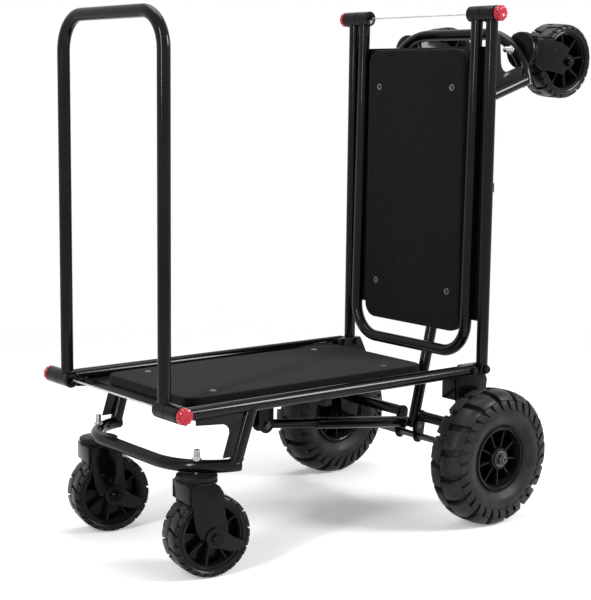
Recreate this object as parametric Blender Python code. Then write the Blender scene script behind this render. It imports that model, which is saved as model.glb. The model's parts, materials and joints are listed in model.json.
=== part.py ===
"""Folding platform cart, standing half open.

The cart has a wheeled centre and two equal half frames that fold on it. The front half lies
level on its casters with its handle up. The rear half stands upright with its handle folded in.
Sizes are metres. X runs along the cart, front to rear, Y across it and Z up.

A half frame is drawn in its own coordinates: x from the hinge pin outwards along the deck,
y across and z out of the side that carries the load.
"""
import math

import bmesh
import bpy
from mathutils import Matrix, Vector

# Fits
GAP = 0.0003
RUN = 0.00005

# Half frames
TUBE_R = 0.0127
HALF_LENGTH = 0.7575
SIDE_TUBE_Y = 0.221
PIN_X = 0.018
PIN_R = 0.005
TUBE_END = 0.012

# Corner joints that the handles turn on
CORNER_R = 0.017
SLEEVE_HALF_LENGTH = 0.019
BUTTON_TRAVEL = 0.003
BUTTON_CAP = 0.0125
BUTTON_BEVEL = 0.0035
LOCK_STEM_R = 0.0099
LOCK_DEPTH = 0.022

# Handles
HANDLE_INSET = 0.040
FOLDED_HANDLE_X = 0.0265
HANDLE_BEND_R = 0.070
FOLDED_LEAN = math.radians(0.76)
WIRE_R = 0.0015
FERRULE_R = 0.003
FERRULE_LENGTH = 0.008

# Deck
BOARD_START = 0.070
BOARD_SETBACK = 0.0715
BOARD_MARGIN = 0.0123
BOARD_TOP = 0.0115
BOARD_THICKNESS = 0.020
BOARD_CORNER_R = 0.032
SCREW_START_INSET = 0.088
SCREW_END_INSET = 0.083
SCREW_SIDE_INSET = 0.0385
SCREW_R = 0.003
SCREW_SINK = 0.0033
SCREW_WASHER_R = 0.0075
STRIP_SHEET = 0.003
STRIP_HALF_WIDTH = 0.0075
TRAY_START = 0.100
TRAY_MARGIN = 0.004
TRAY_SHEET = 0.002
TRAY_REAR_LIP = 0.009
TRAY_FRONT_LIP = 0.015

# Caster subframe
SUBFRAME_SETBACK = 0.037
SUBFRAME_BEND_R = 0.128
STEM_BEND_ANGLE = math.radians(46.3)
FOOT_SETBACK = 0.0985
ARM_OVERLAP = 0.010
LEG_SLANT = 0.035
SADDLE_REACH = 0.100
GUSSET_SHEET = 0.004
GUSSET_REACH = 0.127
GUSSET_TIP_DEPTH = 0.011
GUSSET_WIDTH = 0.036
GUSSET_GAP = 0.0193

# Casters
CASTER_R = 0.0815
CASTER_HALF_WIDTH = 0.0335
CASTER_TRAIL = 0.0205
HUB_DROP = 0.1203
CASTER_SIDES = 20
RIM_R = 0.069
STEM_R = 0.006
STEM_ABOVE_TUBE = 0.020
HOUSING_R = 0.040
HOUSING_HEIGHT = 0.013
CROWN_SHEET = 0.007
FORK_FRONT = 0.029
FORK_HALF_WIDTH = 0.0385
FORK_SHEET = 0.004
FORK_NECK = 0.055
CASTER_BOLT_R = 0.006
BRAKE_SHEET = 0.0045
BRAKE_RING_R = 0.020
GUARD_SHEET = 0.006
SWIVELS = {
    "front_near": math.radians(171.4),
    "front_far": math.radians(167.6),
    "rear_near": math.radians(176.0),
    "rear_far": math.radians(184.0),
}

# Rear wheels
REAR_R = 0.147
REAR_HALF_WIDTH = 0.048
REAR_CROWN = 0.029
WHEEL_GAP = 0.0118
TYRE_CLEARANCE = 0.0221
REAR_SIDES = 24
REAR_RIM_R = 0.0715
HUB_HALF_LENGTH = 0.034
BEARING_R = 0.0125
BEARING_FLANGE_R = 0.0175
BEARING_FLANGE = 0.002
AXLE_R = 0.0075
AXLE_NUT_R = 0.0125
AXLE_NUT_HEIGHT = 0.0095
AXLE_TIP = 0.003
SPACER_R = 0.0112

# Centre
LEG_PLATE_SHEET = 0.012
LEG_WAIST = 0.067
LEG_RISE = 0.010
LEG_MARGIN = 0.018
LEG_BULGE_X = 0.050
LEG_FOOT_R = 0.022
FLANGE_WIDTH = 0.0527
FLANGE_SHEET = 0.006
FLANGE_BOTTOM = 0.069
FLANGE_TOP = 0.015
BEAM_R = 0.012
BEAM_X = 0.008
BEAM_RISE = 0.045

# Struts
STRUT_PIVOT_X = -0.003
STRUT_PIVOT_RISE = 0.025
STRUT_BOLT_R = 0.004
STRUT_TUBE_LENGTH = 0.265
STRUT_ROD_R = 0.0098
STRUT_ROD_LENGTH = 0.340
STRUT_END = 0.010
STRUT_TAIL = 0.008
STRUT_SPACER = 0.004
EAR_SHEET = 0.004
BRACKET_X = 0.391
BRACKET_DROP = 0.107
BRACKET_HALF_WIDTH = 0.018
BRACKET_SHEET = 0.004
BRACKET_CLEARANCE = 0.0005
RAIL_HALF_WIDTH = 0.010
RAIL_HEIGHT = 0.018

# Facets of round pieces
TUBE_SIDES = 12
CORNER_SIDES = 16
BOLT_SIDES = 12
SCREW_SIDES = 8
BEND_STEPS = 5

# Derived places
PIN_HEIGHT = 2 * REAR_R + TYRE_CLEARANCE + TUBE_R
BEAM_HEIGHT = REAR_R + BEAM_RISE
STRUT_PIVOT_HEIGHT = REAR_R + STRUT_PIVOT_RISE
HANDLE_Y = SIDE_TUBE_Y - HANDLE_INSET
HANDLE_LENGTH = HALF_LENGTH - FOLDED_HANDLE_X
CORNER_INNER_Y = HANDLE_Y - SLEEVE_HALF_LENGTH
CORNER_SPLIT_Y = HANDLE_Y + SLEEVE_HALF_LENGTH
CORNER_OUTER_Y = SIDE_TUBE_Y + SLEEVE_HALF_LENGTH
CORNER_LIFT = CORNER_R - TUBE_R - GAP
LOCK_STEM_TIP_Y = CORNER_SPLIT_Y - LOCK_DEPTH
BOARD_END = HALF_LENGTH - BOARD_SETBACK
BOARD_HALF_WIDTH = HANDLE_Y - TUBE_R - BOARD_MARGIN
SCREW_START = BOARD_START + SCREW_START_INSET
SCREW_END = BOARD_END - SCREW_END_INSET
SCREW_Y = BOARD_HALF_WIDTH - SCREW_SIDE_INSET
TRAY_END = BOARD_END + TRAY_MARGIN
SUBFRAME_DROP = PIN_HEIGHT - TUBE_R - GAP - HUB_DROP - CASTER_R
SUBFRAME_END = HALF_LENGTH - SUBFRAME_SETBACK
LEG_FOOT_X = SUBFRAME_END - FOOT_SETBACK
LEG_TOP_X = LEG_FOOT_X - LEG_SLANT
SUBFRAME_ARM_END = LEG_FOOT_X - ARM_OVERLAP
GUSSET_TIP_X = LEG_TOP_X + GUSSET_REACH
GUSSET_LENGTH = SUBFRAME_DROP - TUBE_R - GUSSET_GAP
LEG_PLATE_Y = SIDE_TUBE_Y - TUBE_R - 2 * GAP
FLANGE_INNER_Y = LEG_PLATE_Y - FLANGE_WIDTH
REAR_WHEEL_Y = LEG_PLATE_Y + WHEEL_GAP + REAR_HALF_WIDTH
BUTTON_SKIRT_Y = CORNER_OUTER_Y + BUTTON_TRAVEL + GAP
TRAY_TOP = BOARD_TOP - BOARD_THICKNESS - GAP
TRAY_UNDER = TRAY_TOP - TRAY_SHEET
STRUT_PITCH = 2 * TUBE_R + STRUT_SPACER + 2 * GAP
STRUT_Y = {"front": 0.0, "rear": -STRUT_PITCH}
CASTER_TOP = -SUBFRAME_DROP - TUBE_R - GAP
BEND_CENTRE_X = SUBFRAME_END - SUBFRAME_BEND_R
BEND_CENTRE_Y = SIDE_TUBE_Y - SUBFRAME_BEND_R
STEM_X = BEND_CENTRE_X + SUBFRAME_BEND_R * math.sin(STEM_BEND_ANGLE)
STEM_Y = BEND_CENTRE_Y + SUBFRAME_BEND_R * math.cos(STEM_BEND_ANGLE)
BRAKE_Y = -FORK_HALF_WIDTH - GAP
LEG_INNER_Y = LEG_PLATE_Y - LEG_PLATE_SHEET


def clear_scene():
    for old in list(bpy.data.objects):
        bpy.data.objects.remove(old, do_unlink=True)


def paint(name, colour, roughness, metallic=0.0):
    material = bpy.data.materials.new(name)
    material.use_nodes = True
    shader = material.node_tree.nodes["Principled BSDF"]
    shader.inputs["Base Color"].default_value = (*colour, 1.0)
    shader.inputs["Roughness"].default_value = roughness
    shader.inputs["Metallic"].default_value = metallic
    return material


def empty(name, parent, location, rotation=None):
    """An unseen axis or anchor that pieces hang on."""
    anchor = bpy.data.objects.new(name, None)
    bpy.context.scene.collection.objects.link(anchor)
    anchor.parent = parent
    turn = rotation or Matrix.Identity(4)
    anchor.matrix_local = Matrix.Translation(location) @ turn
    return anchor


def finish_mesh(name, bm):
    """A closed, outward-facing mesh from the faces gathered in bm."""
    bmesh.ops.recalc_face_normals(bm, faces=bm.faces)
    mesh = bpy.data.meshes.new(name)
    bm.to_mesh(mesh)
    bm.free()
    mesh.shade_smooth()
    mesh.set_sharp_from_angle(angle=math.radians(32))
    return mesh


def place(name, mesh, material, parent, location=(0, 0, 0)):
    """An object of its own for a mesh, which other objects may share."""
    piece = bpy.data.objects.new(name, mesh)
    bpy.context.scene.collection.objects.link(piece)
    piece.parent = parent
    piece.location = location
    if not mesh.materials:
        mesh.materials.append(material)
    if piece.material_slots[0].material != material:
        piece.material_slots[0].link = "OBJECT"
        piece.material_slots[0].material = material
    return piece


def hole_r(shaft_r, clearance, sides):
    """Corner radius of a faceted hole whose flats clear a shaft's corners."""
    return (shaft_r + clearance) / math.cos(math.pi / sides)


def corner_r(flat_r, sides):
    """Corner radius of a faceted wheel whose flats touch the true radius."""
    return flat_r / math.cos(math.pi / sides)


def ring_point(axis, centre, height, radius, angle):
    across = radius * math.cos(angle)
    along = radius * math.sin(angle)
    offsets = {
        "X": (height, across, along),
        "Y": (across, height, along),
        "Z": (across, along, height),
    }
    return Vector(centre) + Vector(offsets[axis])


def hexagon_r(radius, angle):
    """Distance to the edge of a hexagon with corners at 15 degrees and every 60 after."""
    beyond = math.degrees(angle) - 15
    return radius * math.cos(math.radians(30)) / math.cos(math.radians(beyond % 60 - 30))


def bridge(bm, first, second):
    count = len(first)
    for k in range(count):
        n = (k + 1) % count
        bm.faces.new((first[k], first[n], second[n], second[k]))


def turned(bm, axis, centre, sections, sides, ring=False):
    """A turned solid from (height, radius) sections; a third value of 6 makes a section hexagonal.

    With ring set the last section joins the first, as in a tyre, and else both ends are capped.
    """
    rings = []
    for section in sections:
        height, radius = section[0], section[1]
        corners = []
        for k in range(sides):
            angle = (k + 0.5) * 2 * math.pi / sides
            reach = hexagon_r(radius, angle) if len(section) == 3 else radius
            corners.append(bm.verts.new(ring_point(axis, centre, height, reach, angle)))
        rings.append(corners)
    for first, second in zip(rings, rings[1:]):
        bridge(bm, first, second)
    if ring:
        bridge(bm, rings[-1], rings[0])
    else:
        bm.faces.new(rings[0])
        bm.faces.new(rings[-1])


def sweep(bm, path, normal, radius, sides):
    """A round bar along a flat path; normal is square to the plane of the path."""
    points = [Vector(p) for p in path]
    normal = Vector(normal).normalized()
    rings = []
    for i, point in enumerate(points):
        before = (point - points[i - 1]).normalized() if i else None
        after = (points[i + 1] - point).normalized() if i + 1 < len(points) else None
        if before is None or after is None:
            tangent, stretch = before or after, 1.0
        else:
            tangent = (before + after).normalized()
            stretch = 1.0 / before.dot(tangent)
        side = normal.cross(tangent)
        corners = []
        for k in range(sides):
            angle = (k + 0.5) * 2 * math.pi / sides
            offset = normal * (radius * math.sin(angle)) + side * (radius * stretch * math.cos(angle))
            corners.append(bm.verts.new(point + offset))
        rings.append(corners)
    for first, second in zip(rings, rings[1:]):
        bridge(bm, first, second)
    bm.faces.new(rings[0])
    bm.faces.new(rings[-1])


def prism(bm, outline, low_y, high_y):
    """An (x, z) outline given a thickness from low_y to high_y."""
    near = [bm.verts.new((x, low_y, z)) for x, z in outline]
    far = [bm.verts.new((x, high_y, z)) for x, z in outline]
    bridge(bm, near, far)
    bm.faces.new(near)
    bm.faces.new(far)


def plate(bm, outline, low_z, high_z):
    """An (x, y) outline given a thickness from low_z to high_z."""
    low = [bm.verts.new((x, y, low_z)) for x, y in outline]
    high = [bm.verts.new((x, y, high_z)) for x, y in outline]
    bridge(bm, low, high)
    bm.faces.new(low)
    bm.faces.new(high)


def block(bm, low, high):
    (x0, y0, z0), (x1, y1, z1) = low, high
    prism(bm, ((x0, z0), (x1, z0), (x1, z1), (x0, z1)), y0, y1)


def arc(centre, radius, start, end, steps):
    """Points on an arc; angles in degrees."""
    points = []
    for k in range(steps + 1):
        angle = math.radians(start + (end - start) * k / steps)
        points.append((centre[0] + radius * math.cos(angle), centre[1] + radius * math.sin(angle)))
    return points


def belt(discs):
    """The outline of a belt drawn tight round discs given as (x, z, radius)."""
    points = []
    for x, z, radius in discs:
        points += arc((x, z), radius, 0, 337.5, 15)
    points.sort()
    lower, upper = [], []
    for chain, ordered in ((lower, points), (upper, points[::-1])):
        for p in ordered:
            while len(chain) > 1 and turns_right(chain[-2], chain[-1], p):
                chain.pop()
            chain.append(p)
    return lower[:-1] + upper[:-1]


def turns_right(a, b, c):
    return (b[0] - a[0]) * (c[1] - a[1]) - (b[1] - a[1]) * (c[0] - a[0]) <= 0


class Build:
    """A mesh made by joining shapes and cutting others from them."""

    def __init__(self, name, draw):
        self.name = name
        self.body = self.solid(name, draw)
        self.tools = []

    def solid(self, name, draw):
        bm = bmesh.new()
        draw(bm)
        shape = bpy.data.objects.new(name, finish_mesh(name, bm))
        bpy.context.scene.collection.objects.link(shape)
        return shape

    def change(self, operation, draw):
        tool = self.solid(self.name + "_tool", draw)
        tool.hide_render = True
        tool.display_type = "WIRE"
        self.tools.append(tool)
        modifier = self.body.modifiers.new(operation.lower(), "BOOLEAN")
        modifier.operation = operation
        modifier.solver = "EXACT"
        modifier.object = tool
        return self

    def join(self, draw):
        return self.change("UNION", draw)

    def cut(self, draw):
        return self.change("DIFFERENCE", draw)

    def mesh(self):
        """The finished mesh; the working objects are removed."""
        bpy.context.view_layer.update()
        graph = bpy.context.evaluated_depsgraph_get()
        mesh = bpy.data.meshes.new_from_object(self.body.evaluated_get(graph))
        mesh.name = self.name
        mesh.shade_smooth()
        mesh.set_sharp_from_angle(angle=math.radians(32))
        for shape in [self.body] + self.tools:
            bpy.data.objects.remove(shape, do_unlink=True)
        return mesh


def simple(name, draw):
    bm = bmesh.new()
    draw(bm)
    return finish_mesh(name, bm)


def both(draw):
    """Draws one thing on each side of the cart."""
    def drawn(bm):
        for side in (-1, 1):
            draw(bm, side)
    return drawn


# Half frame


def side_tube(bm, side):
    y = side * SIDE_TUBE_Y
    turned(bm, "X", (0, y, 0), ((-TUBE_END, TUBE_R), (HALF_LENGTH, TUBE_R)), TUBE_SIDES)


def corner_socket(bm, side):
    ends = ((side * CORNER_SPLIT_Y, CORNER_R), (side * CORNER_OUTER_Y, CORNER_R))
    turned(bm, "Y", (HALF_LENGTH, 0, CORNER_LIFT), ends, CORNER_SIDES)


def socket_bore(bm, side):
    radius = hole_r(LOCK_STEM_R, RUN, CORNER_SIDES)
    ends = ((side * (CORNER_SPLIT_Y - TUBE_R), radius), (side * (CORNER_OUTER_Y + TUBE_R), radius))
    turned(bm, "Y", (HALF_LENGTH, 0, CORNER_LIFT), ends, CORNER_SIDES)


def pin_hole(bm, side):
    radius = hole_r(PIN_R, RUN, BOLT_SIDES)
    ends = ((side * (SIDE_TUBE_Y - 2 * TUBE_R), radius), (side * (SIDE_TUBE_Y + 2 * TUBE_R), radius))
    turned(bm, "Y", (0, 0, 0), ends, BOLT_SIDES)


def board_outline():
    r = BOARD_CORNER_R
    outline = []
    for x, y, start in (
        (BOARD_END - r, BOARD_HALF_WIDTH - r, 0),
        (BOARD_START + r, BOARD_HALF_WIDTH - r, 90),
        (BOARD_START + r, r - BOARD_HALF_WIDTH, 180),
        (BOARD_END - r, r - BOARD_HALF_WIDTH, 270),
    ):
        outline += arc((x, y), r, start, start + 90, BEND_STEPS)
    return outline


def board(bm):
    plate(bm, board_outline(), BOARD_TOP - BOARD_THICKNESS, BOARD_TOP)


def tray_sheet(bm):
    """Sheet-steel tray under the board, welded between the side tubes."""
    block(bm, (TRAY_START, -SIDE_TUBE_Y, TRAY_UNDER), (TRAY_END, SIDE_TUBE_Y, TRAY_TOP))


def tray_lips(bm):
    """The turned-down ends of the tray."""
    half = LEG_INNER_Y
    inset = TRAY_SHEET / 4
    top = TRAY_TOP - inset
    for x, depth in ((TRAY_START + inset, TRAY_REAR_LIP), (TRAY_END - inset - TRAY_SHEET, TRAY_FRONT_LIP)):
        block(bm, (x, -half, TRAY_UNDER - depth), (x + TRAY_SHEET, half, top))


def bracket_rail(bm):
    top = TRAY_TOP - TRAY_SHEET / 2
    low = (BRACKET_X - RAIL_HALF_WIDTH, -SIDE_TUBE_Y + TUBE_R / 2, TRAY_UNDER - RAIL_HEIGHT)
    high = (BRACKET_X + RAIL_HALF_WIDTH, SIDE_TUBE_Y - TUBE_R / 2, top)
    block(bm, low, high)


def bracket_cheeks(y):
    """Two plates under the rail that hang each side of a strut's end."""
    inner = STRUT_ROD_R + BRACKET_CLEARANCE
    outer = inner + BRACKET_SHEET
    root = TRAY_UNDER - RAIL_HEIGHT / 2

    def cheek(bm, side):
        outline = arc((BRACKET_X, -BRACKET_DROP), BRACKET_HALF_WIDTH, 180, 360, 8)
        outline += [(BRACKET_X + BRACKET_HALF_WIDTH, root), (BRACKET_X - BRACKET_HALF_WIDTH, root)]
        edges = sorted((y + side * inner, y + side * outer))
        prism(bm, outline, edges[0], edges[1])

    return both(cheek)


def bracket_bolt_ends(y):
    """The two ends of the bolt through a strut's eye."""
    outer = STRUT_ROD_R + BRACKET_CLEARANCE + BRACKET_SHEET

    def bolt_end(bm, side):
        start = y + side * (outer - BRACKET_SHEET / 2)
        sections = ((start, 0.0085, 6), (y + side * (outer + 0.006), 0.0085, 6))
        turned(bm, "Y", (BRACKET_X, 0, -BRACKET_DROP), sections, BOLT_SIDES)

    return both(bolt_end)


def screw_holes(bm):
    radius = hole_r(SCREW_R, GAP, SCREW_SIDES)
    for x in (SCREW_START, SCREW_END):
        for y in (-SCREW_Y, SCREW_Y):
            ends = ((-BOARD_THICKNESS, radius), (BOARD_THICKNESS, radius))
            turned(bm, "Z", (x, y, 0), ends, SCREW_SIDES)


def sunk_screw_holes(bm):
    """The board's screw holes, with the recesses that the washers sit in."""
    hole = hole_r(SCREW_R, GAP, SCREW_SIDES)
    recess = hole_r(SCREW_WASHER_R, GAP, SCREW_SIDES)
    seat = BOARD_TOP - SCREW_SINK - GAP
    sections = ((-BOARD_THICKNESS, hole), (seat, hole), (seat, recess), (BOARD_THICKNESS, recess))
    for x in (SCREW_START, SCREW_END):
        for y in (-SCREW_Y, SCREW_Y):
            turned(bm, "Z", (x, y, 0), sections, SCREW_SIDES)


def deck_frame_mesh(strut_y):
    """Side tubes, corner sockets, tray and strut bracket, welded into one frame."""
    frame = Build("deck_frame", both(side_tube))
    frame.join(tray_sheet).join(tray_lips).join(both(corner_socket))
    frame.join(bracket_rail).join(bracket_cheeks(strut_y)).join(bracket_bolt_ends(strut_y))
    return frame.cut(both(socket_bore)).cut(both(pin_hole)).cut(screw_holes).mesh()


def deck_screws_mesh():
    """Two sunk screws with ring washers and the nut strip under the tray that holds them."""
    washer = BOARD_TOP - SCREW_SINK
    strip_top = TRAY_UNDER - GAP
    strip_under = strip_top - STRIP_SHEET

    def strip(bm):
        reach = SCREW_Y + STRIP_HALF_WIDTH
        block(bm, (-STRIP_HALF_WIDTH, -reach, strip_under), (STRIP_HALF_WIDTH, reach, strip_top))

    def screw(bm, side):
        turned(bm, "Z", (0, side * SCREW_Y, 0), (
            (washer + 0.0030, 0.0025),
            (washer + 0.0015, 0.0050),
            (washer + 0.0015, SCREW_WASHER_R),
            (washer, SCREW_WASHER_R),
            (washer, SCREW_R),
            (strip_under - SCREW_R, SCREW_R),
        ), SCREW_SIDES)

    return Build("deck_screws", strip).join(both(screw)).mesh()


def subframe_path():
    """Centre line of the horizontal caster tube, near end to far end."""
    start = math.asin((SUBFRAME_ARM_END - BEND_CENTRE_X) / SUBFRAME_BEND_R)
    near = []
    for k in range(BEND_STEPS + 1):
        angle = start + (math.pi / 2 - start) * k / BEND_STEPS
        x = BEND_CENTRE_X + SUBFRAME_BEND_R * math.sin(angle)
        y = BEND_CENTRE_Y + SUBFRAME_BEND_R * math.cos(angle)
        near.append((x, -y, -SUBFRAME_DROP))
    far = [(x, -y, z) for x, y, z in near]
    return near + far[::-1]


def caster_tube(bm):
    sweep(bm, subframe_path(), (0, 0, 1), TUBE_R, TUBE_SIDES)


def leg_centre(z):
    """Where a subframe leg's centre line is along the half at height z."""
    return LEG_TOP_X + (LEG_FOOT_X - LEG_TOP_X) * -z / SUBFRAME_DROP


def subframe_leg(bm, side):
    foot_angle = math.asin((LEG_FOOT_X - BEND_CENTRE_X) / SUBFRAME_BEND_R)
    foot_y = BEND_CENTRE_Y + SUBFRAME_BEND_R * math.cos(foot_angle)
    top = -GAP
    path = ((leg_centre(top), side * SIDE_TUBE_Y, top), (LEG_FOOT_X, side * foot_y, -SUBFRAME_DROP))
    sweep(bm, path, (0, 1, 0), TUBE_R, TUBE_SIDES)


def gusset(bm, side):
    """L-shaped plate in the corner between a leg and its side tube."""
    top = -TUBE_R - 2 * GAP
    bottom = top - GUSSET_LENGTH
    inside = top - 0.033
    tip = top - GUSSET_TIP_DEPTH
    outline = (
        (leg_centre(top), top),
        (GUSSET_TIP_X, top),
        (GUSSET_TIP_X, tip),
        (leg_centre(inside) + GUSSET_WIDTH + 0.016, inside + 0.017),
        (leg_centre(inside) + GUSSET_WIDTH + 0.004, inside + 0.010),
        (leg_centre(inside) + GUSSET_WIDTH, inside),
        (leg_centre(bottom) + GUSSET_WIDTH, bottom),
        (leg_centre(bottom), bottom),
    )
    y = side * SIDE_TUBE_Y
    prism(bm, outline, y - GUSSET_SHEET / 2, y + GUSSET_SHEET / 2)


def tube_saddle(bm, side):
    radius = hole_r(TUBE_R, GAP, TUBE_SIDES)
    ends = ((LEG_TOP_X - SADDLE_REACH, radius), (LEG_TOP_X + SADDLE_REACH, radius))
    turned(bm, "X", (0, side * SIDE_TUBE_Y, 0), ends, TUBE_SIDES)


def tray_clearance(bm):
    low = (LEG_TOP_X - SADDLE_REACH, -SIDE_TUBE_Y, TRAY_UNDER - GAP)
    high = (LEG_TOP_X + SADDLE_REACH, SIDE_TUBE_Y, TUBE_R)
    block(bm, low, high)


def stem_hole(bm, side):
    radius = hole_r(STEM_R, GAP, BOLT_SIDES)
    z = -SUBFRAME_DROP
    ends = ((z - 2 * TUBE_R, radius), (z + 2 * TUBE_R, radius))
    turned(bm, "Z", (STEM_X, side * STEM_Y, 0), ends, BOLT_SIDES)


def subframe_mesh():
    frame = Build("subframe", caster_tube)
    frame.join(both(subframe_leg)).join(both(gusset))
    frame.cut(both(tube_saddle)).cut(tray_clearance)
    return frame.cut(both(stem_hole)).mesh()


def caster_stem(bm):
    """Swivel bolt: a head under the fork crown, and a nut and thread above the tube."""
    crown = CASTER_TOP - HOUSING_HEIGHT - CROWN_SHEET - GAP
    nut = -SUBFRAME_DROP + TUBE_R + GAP
    turned(bm, "Z", (0, 0, 0), (
        (crown - 0.006, 0.010),
        (crown, 0.010),
        (crown, STEM_R),
        (nut, STEM_R),
        (nut, 0.0105, 6),
        (nut + 0.010, 0.0105, 6),
        (nut + 0.010, STEM_R),
        (nut + STEM_ABOVE_TUBE, STEM_R),
    ), BOLT_SIDES)


# Handle


def handle_loop(bm):
    """The U tube, from one corner joint to the other."""
    r = HANDLE_BEND_R
    bar = HANDLE_LENGTH - r
    near = arc((bar, r - HANDLE_Y), r, 270, 360, BEND_STEPS)
    far = arc((bar, HANDLE_Y - r), r, 0, 90, BEND_STEPS)
    flat = [(0, -HANDLE_Y)] + near + far + [(0, HANDLE_Y)]
    sweep(bm, [(x, y, 0) for x, y in flat], (0, 0, 1), TUBE_R, TUBE_SIDES)


def sleeve(bm, side):
    ends = ((side * CORNER_INNER_Y, CORNER_R), (side * (CORNER_SPLIT_Y - GAP), CORNER_R))
    turned(bm, "Y", (0, 0, 0), ends, CORNER_SIDES)


def sleeve_bore(bm, side):
    radius = hole_r(LOCK_STEM_R, RUN, CORNER_SIDES)
    bottom = LOCK_STEM_TIP_Y - 2 * BUTTON_TRAVEL
    ends = ((side * bottom, radius), (side * (CORNER_SPLIT_Y + TUBE_R), radius))
    turned(bm, "Y", (0, 0, 0), ends, CORNER_SIDES)


def handle_mesh():
    loop = Build("handle", handle_loop)
    return loop.join(both(sleeve)).cut(both(sleeve_bore)).mesh()


def release_wire(bm):
    end = CORNER_INNER_Y - GAP
    grip = end - FERRULE_LENGTH
    turned(bm, "Y", (0, 0, 0), (
        (-end, FERRULE_R),
        (-grip, FERRULE_R),
        (-grip, WIRE_R),
        (grip, WIRE_R),
        (grip, FERRULE_R),
        (end, FERRULE_R),
    ), 8)


def button(bm):
    """Push cap and lock stem, drawn on the +y side of a corner joint."""
    cap = BUTTON_SKIRT_Y + BUTTON_CAP
    turned(bm, "Y", (0, 0, 0), (
        (cap, CORNER_R - BUTTON_BEVEL),
        (cap - BUTTON_BEVEL, CORNER_R),
        (BUTTON_SKIRT_Y, CORNER_R),
        (BUTTON_SKIRT_Y, LOCK_STEM_R),
        (LOCK_STEM_TIP_Y, LOCK_STEM_R),
    ), CORNER_SIDES)


# Caster, drawn with its swivel axis on z, its trail along +x and z = 0 under the caster tube


def fork_side(bm):
    """The whole side view of the fork as one thick block."""
    top = -HOUSING_HEIGHT
    hub_x, hub_z = CASTER_TRAIL, -HUB_DROP
    outline = [
        (-FORK_FRONT, top),
        (0.022, top),
        (0.040, top - 0.022),
        (0.040, top - 0.042),
        (hub_x + 0.029, hub_z + 0.008),
    ]
    outline += arc((hub_x, hub_z), 0.016, 25, -205, 7)
    outline += [
        (hub_x - 0.030, hub_z + 0.001),
        (-0.020, hub_z + 0.023),
        (-0.026, hub_z + FORK_NECK),
    ]
    prism(bm, outline, -FORK_HALF_WIDTH, FORK_HALF_WIDTH)


def wheel_well(bm):
    inner = FORK_HALF_WIDTH - FORK_SHEET
    top = -HOUSING_HEIGHT - CROWN_SHEET
    block(bm, (-CASTER_R, -inner, -HUB_DROP - CASTER_R), (2 * CASTER_R, inner, top))


def swivel_housing(bm):
    turned(bm, "Z", (0, 0, 0), (
        (-GAP, HOUSING_R - 0.003),
        (-0.004, HOUSING_R),
        (-HOUSING_HEIGHT - CROWN_SHEET / 2, HOUSING_R),
    ), 20)


def front_guard(bm):
    """Upright plate across the front of the fork."""
    half = FORK_HALF_WIDTH - FORK_SHEET / 2
    front = -FORK_FRONT - GUARD_SHEET + FORK_SHEET / 4
    block(bm, (front, -half, -0.052), (front + GUARD_SHEET, half, -HOUSING_HEIGHT - FORK_SHEET / 4))


def fork_stem_bore(bm):
    radius = hole_r(STEM_R, RUN, BOLT_SIDES)
    turned(bm, "Z", (0, 0, 0), ((-0.045, radius), (0.010, radius)), BOLT_SIDES)


def fork_axle_bore(bm):
    radius = hole_r(CASTER_BOLT_R, GAP, BOLT_SIDES)
    ends = ((-2 * FORK_HALF_WIDTH, radius), (2 * FORK_HALF_WIDTH, radius))
    turned(bm, "Y", (CASTER_TRAIL, 0, -HUB_DROP), ends, BOLT_SIDES)


def fork_mesh():
    fork = Build("caster_fork", fork_side).cut(wheel_well)
    fork.join(swivel_housing).join(front_guard)
    return fork.cut(fork_stem_bore).cut(fork_axle_bore).mesh()


def caster_axle(bm):
    """Axle bolt; its head holds the brake lever against the fork."""
    head = BRAKE_Y - BRAKE_SHEET - GAP
    nut = FORK_HALF_WIDTH + GAP
    turned(bm, "Y", (0, 0, 0), (
        (head - 0.0095, 0.0110, 6),
        (head, 0.0110, 6),
        (head, CASTER_BOLT_R),
        (nut, CASTER_BOLT_R),
        (nut, 0.0105, 6),
        (nut + 0.010, 0.0105, 6),
    ), BOLT_SIDES)


def caster_rim(bm):
    bore = hole_r(CASTER_BOLT_R, RUN, CASTER_SIDES)
    half = (
        (FORK_HALF_WIDTH - FORK_SHEET - 0.001, 0.014),
        (0.008, RIM_R - 0.012),
        (CASTER_HALF_WIDTH - 0.002, RIM_R),
    )
    hub_end = half[0][0]
    far = list(half)
    near = [(-y, r) for y, r in half]
    loop = [(-hub_end, bore), (hub_end, bore)] + far + near[::-1]
    turned(bm, "Y", (0, 0, 0), loop, CASTER_SIDES, ring=True)


def caster_tyre(bm):
    half = (
        (CASTER_HALF_WIDTH - 0.0015, RIM_R + GAP),
        (CASTER_HALF_WIDTH, RIM_R + 0.004),
        (CASTER_HALF_WIDTH - 0.0005, CASTER_R - 0.003),
        (CASTER_HALF_WIDTH - 0.005, corner_r(CASTER_R, CASTER_SIDES)),
    )
    loop = list(half) + [(-y, r) for y, r in half][::-1]
    turned(bm, "Y", (0, 0, 0), loop, CASTER_SIDES, ring=True)


def brake_plate(bm):
    """Lever with a ring round the axle bolt and a blade that points the way the caster trails."""
    outline = arc((0, 0), BRAKE_RING_R, 45, 285, 9)
    outline += [
        (0.020, -0.026),
        (0.042, -0.031),
        (0.062, -0.023),
        (0.065, -0.017),
        (0.050, -0.008),
        (0.038, -0.003),
        (0.024, 0.010),
    ]
    prism(bm, outline, BRAKE_Y - BRAKE_SHEET, BRAKE_Y)


def brake_bore(bm):
    radius = hole_r(CASTER_BOLT_R, RUN, BOLT_SIDES)
    ends = ((BRAKE_Y - 2 * BRAKE_SHEET, radius), (BRAKE_Y + BRAKE_SHEET, radius))
    turned(bm, "Y", (0, 0, 0), ends, BOLT_SIDES)


# Rear wheel, drawn about its own centre


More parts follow.
